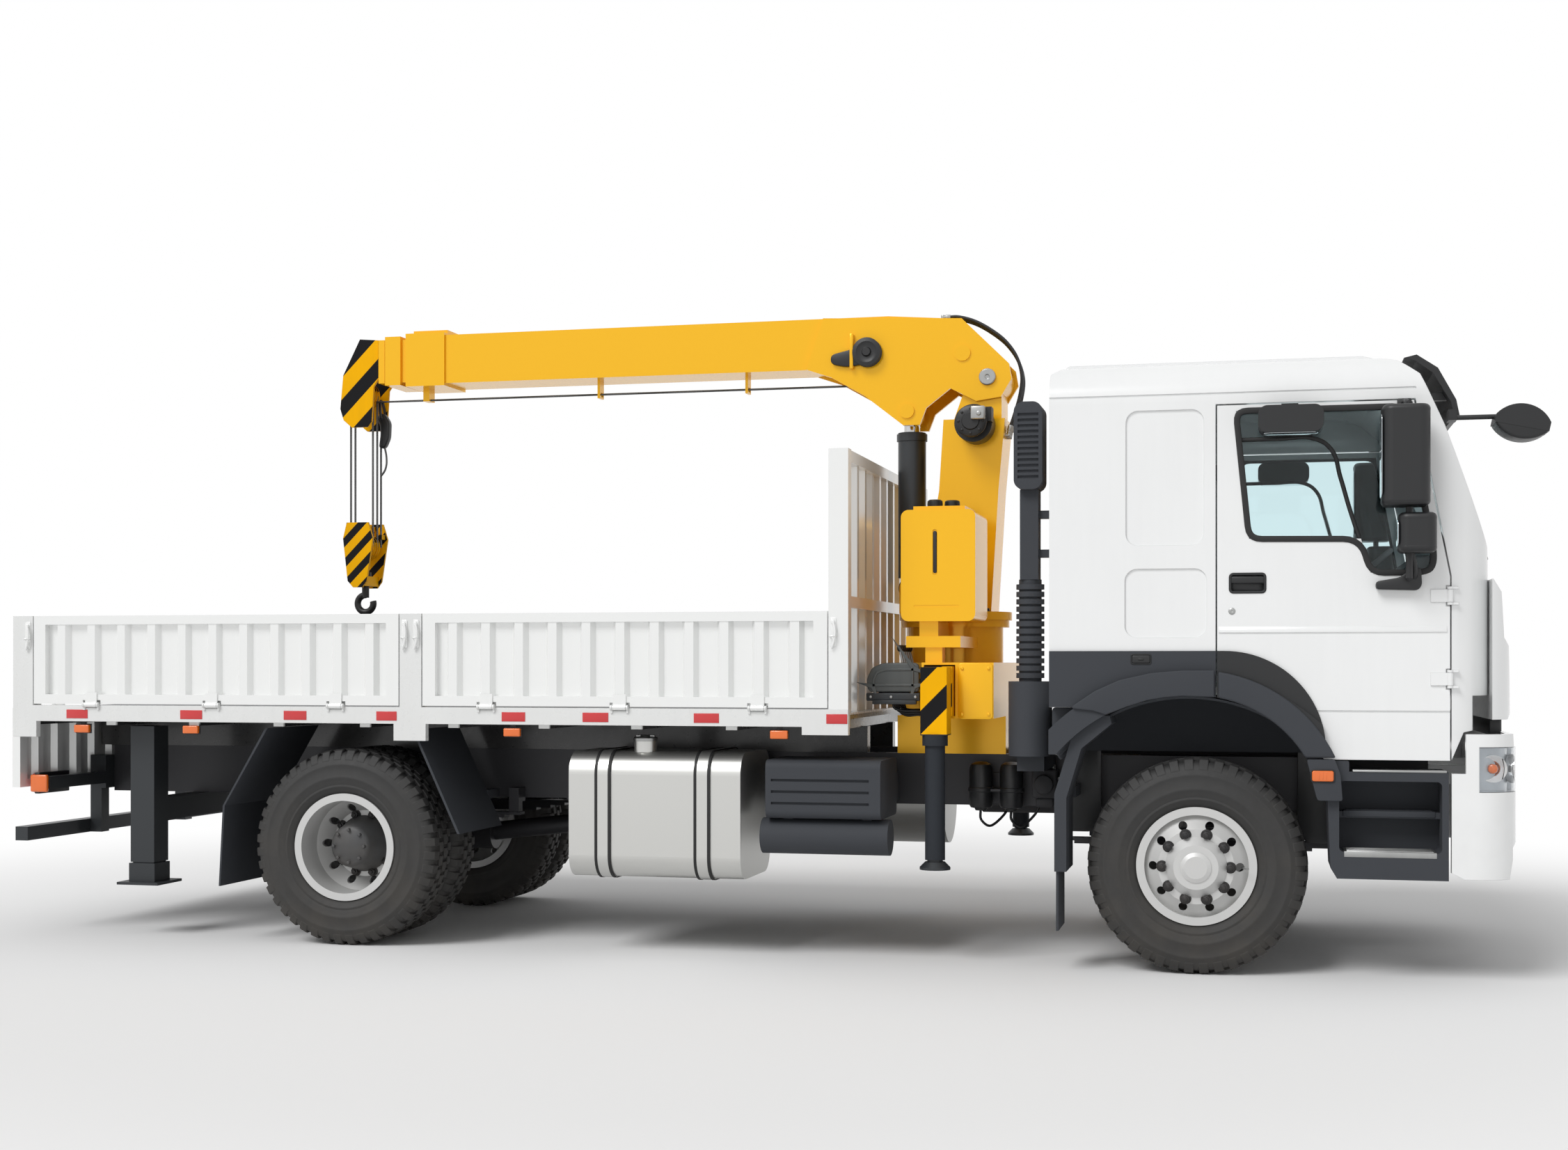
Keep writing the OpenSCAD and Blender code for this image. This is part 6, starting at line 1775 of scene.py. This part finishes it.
    def slew_bolts(self) -> None:
        """Makes the bolts round the column's foot, where the column leaves room for them."""
        bolts: list[Piece] = []
        for index in range(self.ring_bolts):
            turn = 2 * math.pi * (index + 0.5) / self.ring_bolts
            x, y = self.slew_x + self.ring_radius * math.cos(turn), self.ring_radius * math.sin(turn)
            if abs(y) < self.ring_gap:
                continue
            z = self.ring_z
            bolts.append(Bench.rod("washer", (x, y, z - 0.001), (x, y, z + 0.004), 0.02, 16, 0.001))
            bolts.append(Bench.rod("bolt", (x, y, z + 0.003), (x, y, z + 0.018), 0.0145, 6))
        fit(Bench.join("slew_bolts", bolts), "slewing_column", NUT)

    def standing_rope(self) -> None:
        """Makes the rope under the boom, in one length for each section so that it draws out."""
        y, z = self.rope_y, self.rope_z
        for body, low, high, radius in self.standing:
            rope = Bench.rod(f"standing_rope_{body}", (low, y, z), (high, y, z), radius, 12, 0)
            fit(rope, body, ROPE)

    def build(self) -> None:
        """Builds the fittings."""
        self.cable_reel()
        self.pins()
        self.winch_cover()
        self.oil_tank()
        self.tube_caps()
        self.slew_bolts()
        self.standing_rope()


@dataclass
class ControlBank:
    """Valve bank with its levers on the crane's base."""

    x: Flat = (2.97, 3.105)
    z: Flat = (1.37, 1.462)
    first_y: float = -0.905
    pitch: float = 0.064
    slices: int = 6
    base_x: float = 3.18
    lever: float = 0.15

    def valves(self) -> None:
        """Makes the row of valve slices between two end plates, with their ports and caps."""
        (x0, x1), (z0, z1) = self.x, self.z
        last_y = self.first_y + self.slices * self.pitch
        parts = [Bench.block("end", (x0 - 0.006, y, z0 - 0.008), (x1 + 0.006, y + 0.018, z1 + 0.01), 0.003)
                 for y in (self.first_y - 0.02, last_y)]
        for index in range(self.slices):
            y = self.first_y + index * self.pitch
            middle = y + self.pitch / 2
            cap = [(x, middle, z0 + 0.045) for x in (x0 - 0.03, x0 + 0.002)]
            port = [(x0 + 0.05, middle, z) for z in (z0 - 0.02, z0 + 0.002)]
            parts += [Bench.block("slice", (x0, y + 0.002, z0), (x1, y + self.pitch - 0.002, z1), 0.005),
                      Bench.rod("cap", *cap, 0.019, 20, 0.004),
                      Bench.rod("port", *port, 0.017, 6),
                      Bench.block("fork", (x1 - 0.05, middle - 0.012, z1 - 0.002),
                                  (x1 - 0.014, middle + 0.012, z1 + 0.02), 0.004)]
        fit(Bench.join("valve_bank", parts), "chassis", CAST)

    def levers(self) -> None:
        """Makes a lever with a round knob on each slice."""
        x, z = self.x[1] - 0.032, self.z[1] + 0.012
        middles = [self.first_y + (index + 0.5) * self.pitch for index in range(self.slices)]
        tips = [(x - 0.022, y, z + self.lever) for y in middles]
        rods = [Bench.tube("lever", [(x, y, z), (x - 0.004, y, z + self.lever / 2), tip], 0.0055)
                for y, tip in zip(middles, tips)]
        fit(Bench.join("valve_levers", rods), "chassis", BRIGHT)
        section = [(0, -0.006), (0.008, -0.005), (0.013, 0.004), (0.015, 0.014), (0.012, 0.024),
                   (0.006, 0.029), (0, 0.03)]
        knob = Bench.turned(Bench.lathe("knob", section, 20), 90, "X")
        fit(Bench.spread("lever_knobs", knob, tips), "chassis", BLACK)

    def shelf(self) -> None:
        """Makes the bracket that carries the bank on the base, and the pipes that come out under it."""
        (x0, x1), z0 = self.x, self.z[0]
        last_y = self.first_y + self.slices * self.pitch
        plates = [Bench.block("plate", (x1 + 0.004, self.first_y - 0.01, z0 + 0.02),
                              (x1 + 0.014, last_y + 0.01, z0 + 0.085))]
        plates += [Bench.block("arm", (x1 + 0.01, y, z0 + 0.02), (self.base_x + 0.001, y + 0.012, z0 + 0.08))
                   for y in (self.first_y + 0.03, last_y - 0.04)]
        fit(Bench.join("bank_bracket", plates), "chassis", YELLOW)
        pipes = []
        for index in range(self.slices):
            y = self.first_y + (index + 0.5) * self.pitch
            low = z0 - 0.06 - 0.012 * (index % 3)
            path = [(x0 + 0.05, y, z0 - 0.018), (x0 + 0.05, y, z0 - 0.045), (x0 + 0.075, y, low),
                    (x1 + 0.03, y, low - 0.005), (self.base_x + 0.01, y + 0.02, low - 0.004)]
            pipes.append(Bench.tube("pipe", path, 0.0075))
        fit(Bench.join("bank_pipes", pipes), "chassis", BLACK)

    def covers(self) -> None:
        """Makes the pressed side cover of the bank, and the tray under it with its screws."""
        (x0, x1), z0 = self.x, self.z[0]
        y = self.first_y - 0.02
        outline = rounded([(x0 - 0.075, z0 + 0.035), (x0 - 0.085, z0 + 0.1), (x0 - 0.055, z0 + 0.165),
                           (x0 + 0.005, z0 + 0.188), (x1 + 0.048, z0 + 0.19), (x1 + 0.064, z0 + 0.17),
                           (x1 + 0.064, z0 + 0.035)], 0.022, 5)
        skin = Bench.plate("skin", outline, Plane.SIDE, y + 0.002, y - 0.022, 0.008, 3)
        inset = Bench.ring("inset", grown(outline, -0.03), Plane.SIDE, y - 0.021, y - 0.027, 0.012, 0.003)
        fit(Bench.join("bank_cover", [skin, inset]), "chassis", COVER)
        tray = [Bench.block("tray", (x0 - 0.085, y - 0.028, z0 - 0.012),
                            (x1 + 0.068, y + 0.05, z0 + 0.03), 0.006, 3),
                Bench.block("lip", (x0 - 0.05, y - 0.04, z0 - 0.03),
                            (x1 + 0.05, y - 0.01, z0 - 0.008), 0.004)]
        fit(Bench.join("bank_tray", tray), "chassis", LEG)
        screws = [Bench.rod("screw", (x, y - 0.027, z0 + 0.009), (x, y - 0.036, z0 + 0.009), 0.008, 6, 0.001)
                  for x in (x0 - 0.06, x0 + 0.05, x1 + 0.045)]
        fit(Bench.join("tray_screws", screws), "chassis", BRIGHT)

    def build(self) -> None:
        """Builds the bank."""
        self.valves()
        self.levers()
        self.shelf()
        self.covers()


@dataclass
class ChassisFittings:
    """Step treads, and the air dryers and brake valve on the frame rail."""

    skin: float = 1.245
    step: Flat = (5.306, 5.736)
    rib_pitch: float = 0.026
    rail_y: float = 0.43
    dryers: tuple[float, ...] = (3.44, 3.605)
    dryer_z: float = 0.76

    def treads(self) -> None:
        """Makes the ribbed treads of both steps and the bright sill above them."""
        x0, x1 = self.step
        sill = Bench.block("sill", (5.345, -self.skin - 0.004, 1.0285),
                           (5.782, 0.05 - self.skin, 1.041), 0.004)
        steps = (("lower", 0.64, 0.003, 0.205, BRIGHT, [sill]), ("upper", 0.83, 0.108, 0.222, PLASTIC, []))
        for word, z, depth, end, finish, parts in steps:
            near, far = depth - self.skin, end - self.skin
            parts += [Bench.block("tread", (x0, near, z - 0.001), (x1, far, z + 0.004), 0.0015),
                      Bench.block("nose", (x0, near - 0.004, z - 0.024),
                                  (x1, near + 0.004, z + 0.004), 0.002)]
            rows = [near + 0.01 + row * self.rib_pitch for row in range(int((end - depth) / self.rib_pitch))]
            parts += [Bench.block("rib", (x0 + 0.012, y, z + 0.003), (x1 - 0.012, y + 0.012, z + 0.008),
                                  0.002) for y in rows]
            fit_pair(Bench.join(f"step_tread_{word}_right", parts), CHASSIS_PAIR, finish)

    def air_dryers(self) -> None:
        """Makes two air dryers on a bracket of the right rail, with their lines."""
        section = [(0, 0.0), (0.03, 0.0), (0.036, 0.012), (0.056, 0.016), (0.063, 0.028), (0.063, 0.1),
                   (0.069, 0.104), (0.069, 0.122), (0.063, 0.126), (0.063, 0.225), (0.054, 0.25),
                   (0.03, 0.262), (0, 0.264)]
        can = Bench.turned(Bench.lathe("can", section, 40), 90, "X")
        rail, z = -self.rail_y, self.dryer_z
        y = rail - 0.115
        fit(Bench.spread("air_dryers", can, [(x, y, z) for x in self.dryers]), "chassis", BLACK)
        low, high = self.dryers[0] - 0.05, self.dryers[1] + 0.05
        bracket = [Bench.block("shelf", (low, y - 0.04, z + 0.104), (high, rail + 0.001, z + 0.118)),
                   Bench.block("back", (low, rail - 0.01, z + 0.03), (high, rail + 0.001, z + 0.2))]
        fit(Bench.join("dryer_bracket", bracket), "chassis", FRAME)
        routes = [[(x, y - 0.02, z + 0.004), (x + 0.004, y - 0.02, z - 0.05), (x + 0.05, y + 0.03, z - 0.085),
                   (x + 0.12, y + 0.09, z - 0.02), (x + 0.15, rail - 0.004, z + 0.06)] for x in self.dryers]
        lines = [Bench.tube("line", smooth(route), 0.007) for route in routes]
        fit(Bench.join("dryer_lines", lines), "chassis", HOSE)

    def valve_box(self) -> None:
        """Makes the brake valve on the rail in front of the dryers, with its unions."""
        y = -self.rail_y
        body = [Bench.block("body", (3.715, y - 0.13, 0.83), (3.85, y + 0.001, 0.985), 0.012, 3),
                Bench.rod("dome", (3.782, y - 0.128, 0.905), (3.782, y - 0.165, 0.905), 0.052, 32, 0.012),
                Bench.block("foot", (3.735, y - 0.11, 0.78), (3.83, y - 0.02, 0.832), 0.01, 3)]
        fit(Bench.join("brake_valve", body), "chassis", CAST)
        unions = [Bench.rod("union", (x, y - 0.06, 0.983), (x, y - 0.06, 1.008), 0.014, 6)
                  for x in (3.745, 3.785, 3.825)]
        unions += [Bench.rod("union", (3.848, y - 0.07, z), (3.872, y - 0.07, z), 0.014, 6)
                   for z in (0.87, 0.93)]
        fit(Bench.join("valve_unions", unions), "chassis", BRIGHT)

    def build(self) -> None:
        """Builds the fittings."""
        self.treads()
        self.air_dryers()
        self.valve_box()


@dataclass
class DeadEnd:
    """Wedge socket at the boom head, with its rope down to the hook block and the tail of the rope.

    The two lengths of the rope are given by their lowest point and how long they are.
    """

    x: float = -0.3672
    y: float = 0.064
    upper: Flat = (2.36, 0.54)
    lower: Flat = (2.27, 0.6)

    def build(self) -> None:
        """Builds the socket, its rope in two lengths, and the tail."""
        outline = rounded([(-0.386, 3.055), (-0.372, 3.098), (-0.335, 3.094), (-0.302, 3.04), (-0.306, 2.945),
                           (-0.335, 2.882), (-0.374, 2.884), (-0.362, 2.97), (-0.368, 3.03)], 0.02, 4)
        socket = Bench.plate("socket", outline, Plane.SIDE, self.y - 0.026, self.y + 0.026, 0.014, 3)
        pin = Bench.rod("pin", (-0.352, self.y - 0.036, 3.066), (-0.352, self.y + 0.036, 3.066), 0.012, 16)
        bow = [(-0.352, self.y - 0.032, 3.066), (-0.36, self.y - 0.03, 3.13), (-0.367, self.y, 3.175),
               (-0.36, self.y + 0.03, 3.13), (-0.352, self.y + 0.032, 3.066)]
        shackle = Bench.tube("shackle", bow, 0.009)
        fit(Bench.join("wedge_socket", [socket, pin, shackle]), "rope_falls", BLACK)
        maker = HoistRopes()
        sets = (("upper", "rope_falls", self.upper, maker.radius),
                ("lower", "block", self.lower, maker.radius * maker.slim))
        for word, body, (low, length), radius in sets:
            rope = maker.rope(f"dead_rope_{word}", length, radius)
            fit(Bench.moved(rope, self.x, self.y, low), body, ROPE)
        tail = Bench.tube("rope_tail", [(-0.345, self.y, 2.9), (-0.33, self.y, 2.82),
                                        (-0.334, self.y - 0.004, 2.76), (-0.352, self.y - 0.006, 2.726),
                                        (-0.367, self.y - 0.004, 2.712)], 0.006)
        fit(tail, "rope_falls", ROPE)


@dataclass
class Seating:
    """Two padded seats and the bunk's mattress."""

    seat_x: float = 4.86
    seat_y: float = 0.56
    floor_z: float = 1.7403
    back_foot: Flat = (4.92, 1.84)
    lean: float = -12.0

    def seat(self, side: Side) -> None:
        """Makes a seat with its cushion, back and head rest.

        Args:
            side: Side of the cab.
        """
        x, y, half = self.seat_x, side.value * self.seat_y, 0.238
        cushion = Bench.block("cushion", (x + 0.002, y - half, self.floor_z + 0.001),
                              (x + 0.498, y + half, 1.869), 0.045, 5)
        back = Bench.block("back", (-0.108, y - 0.228, 0.004), (-0.002, y + 0.228, 0.616), 0.04, 5)
        head = Bench.block("head", (-0.088, y - 0.128, 0.628), (-0.012, y + 0.128, 0.788), 0.034, 5)
        stems = [Bench.rod("stem", (-0.05, across, 0.58), (-0.05, across, 0.66), 0.007, 12)
                 for across in (y - 0.07, y + 0.07)]
        rolls = [Bench.tube("roll", [(-0.004, y + way * 0.15, 0.05), (0.0, y + way * 0.155, 0.3),
                                     (-0.004, y + way * 0.14, 0.56)], 0.01) for way in (-1, 1)]
        upright = Bench.turned(Bench.join("upright", [back, head, *stems, *rolls]), self.lean, "Y")
        Bench.moved(upright, x=self.back_foot[0], z=self.back_foot[1])
        seat = fit(Bench.join(f"seat_{side.word}", [cushion, upright]), "chassis", CLOTH)

    def build(self) -> None:
        """Builds the seats and the mattress in place of their plain solid."""
        for side in Side:
            self.seat(side)
        mattress = Bench.block("bunk_mattress", (3.952, -1.148, self.floor_z + 0.001),
                               (4.488, 1.148, 1.859), 0.04, 5)
        fit(mattress, "chassis", CLOTH, "seats")


@dataclass
class Hoses:
    """Hydraulic hoses over the boom's knuckle, with their end fittings."""

    radius: float = 0.0095
    across: tuple[float, ...] = (-0.085, -0.04, 0.005)
    route: tuple[Flat, ...] = ((3.19, 3.522), (3.25, 3.521), (3.34, 3.494), (3.43, 3.443), (3.515, 3.374),
                               (3.578, 3.283), (3.607, 3.175), (3.597, 3.07), (3.57, 2.972), (3.541, 2.885))
    spread: float = 0.007
    bend: tuple[Flat, Flat] = ((3.4, 3.45), (3.6, 3.1))

    def fittings(self, y: float, index: int) -> None:
        """Makes the elbows at both ends of a hose.

        Args:
            y: Place of the hose across the boom.
            index: Its number.
        """
        (x0, z0), (x1, z1) = self.route[0], self.route[-1]
        upper = [Bench.rod("nut", (x0 - 0.016, y, z0), (x0 + 0.014, y, z0), 0.0145, 6),
                 Bench.rod("stub", (x0 - 0.03, y, 3.5), (x0 - 0.03, y, z0 + 0.012), 0.012),
                 Bench.rod("link", (x0 - 0.03, y, z0), (x0 - 0.01, y, z0), 0.011)]
        fit(Bench.join(f"hose_elbow_boom_{index}", upper), "boom", BRIGHT)
        lower = [Bench.rod("nut", (x1 + 0.004, y, z1 + 0.014), (x1 - 0.005, y, z1 - 0.016), 0.0145, 6),
                 Bench.rod("link", (x1 - 0.004, y, z1 - 0.012), (x1 - 0.012, y, z1 - 0.05), 0.011),
                 Bench.rod("stub", (3.5, y, z1 - 0.044), (x1 - 0.001, y, z1 - 0.044), 0.012)]
        fit(Bench.join(f"hose_elbow_column_{index}", lower), "slewing_column", BRIGHT)

    def build(self) -> None:
        """Makes each hose between the boom and the column, with its end fittings."""
        middle = len(self.route) // 2
        for index, y in enumerate(self.across):
            knots = [(x - MID_X, y, z - self.spread * index * (1 - abs(place - middle) / middle))
                     for place, (x, z) in enumerate(self.route)]
            path = smooth(knots)
            hose = Bench.tube(f"knuckle_hose_{index}", path, self.radius)
            hose.data.materials.append(HOSE.material())
            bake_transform(hose)
            LOG.info("%s bends between the boom and the column", hose.name)
            self.fittings(y, index)


def main() -> None:
    """Builds the scene, one sub-assembly after the other."""
    logging.basicConfig(level=logging.INFO, format="%(message)s")
    kinds = (Studio, CadFinishes, RoadTyres, WheelFittings, DoorTrim, CabFront, WheelArches, FlatbedFittings,
             TankTrim, ChassisFittings, CraneFittings, ControlBank, HoistRopes, DeadEnd, Seating, Hoses)
    for kind in kinds:
        LOG.info("building %s", kind.__name__)
        kind().build()


if __name__ == "__main__":
    main()
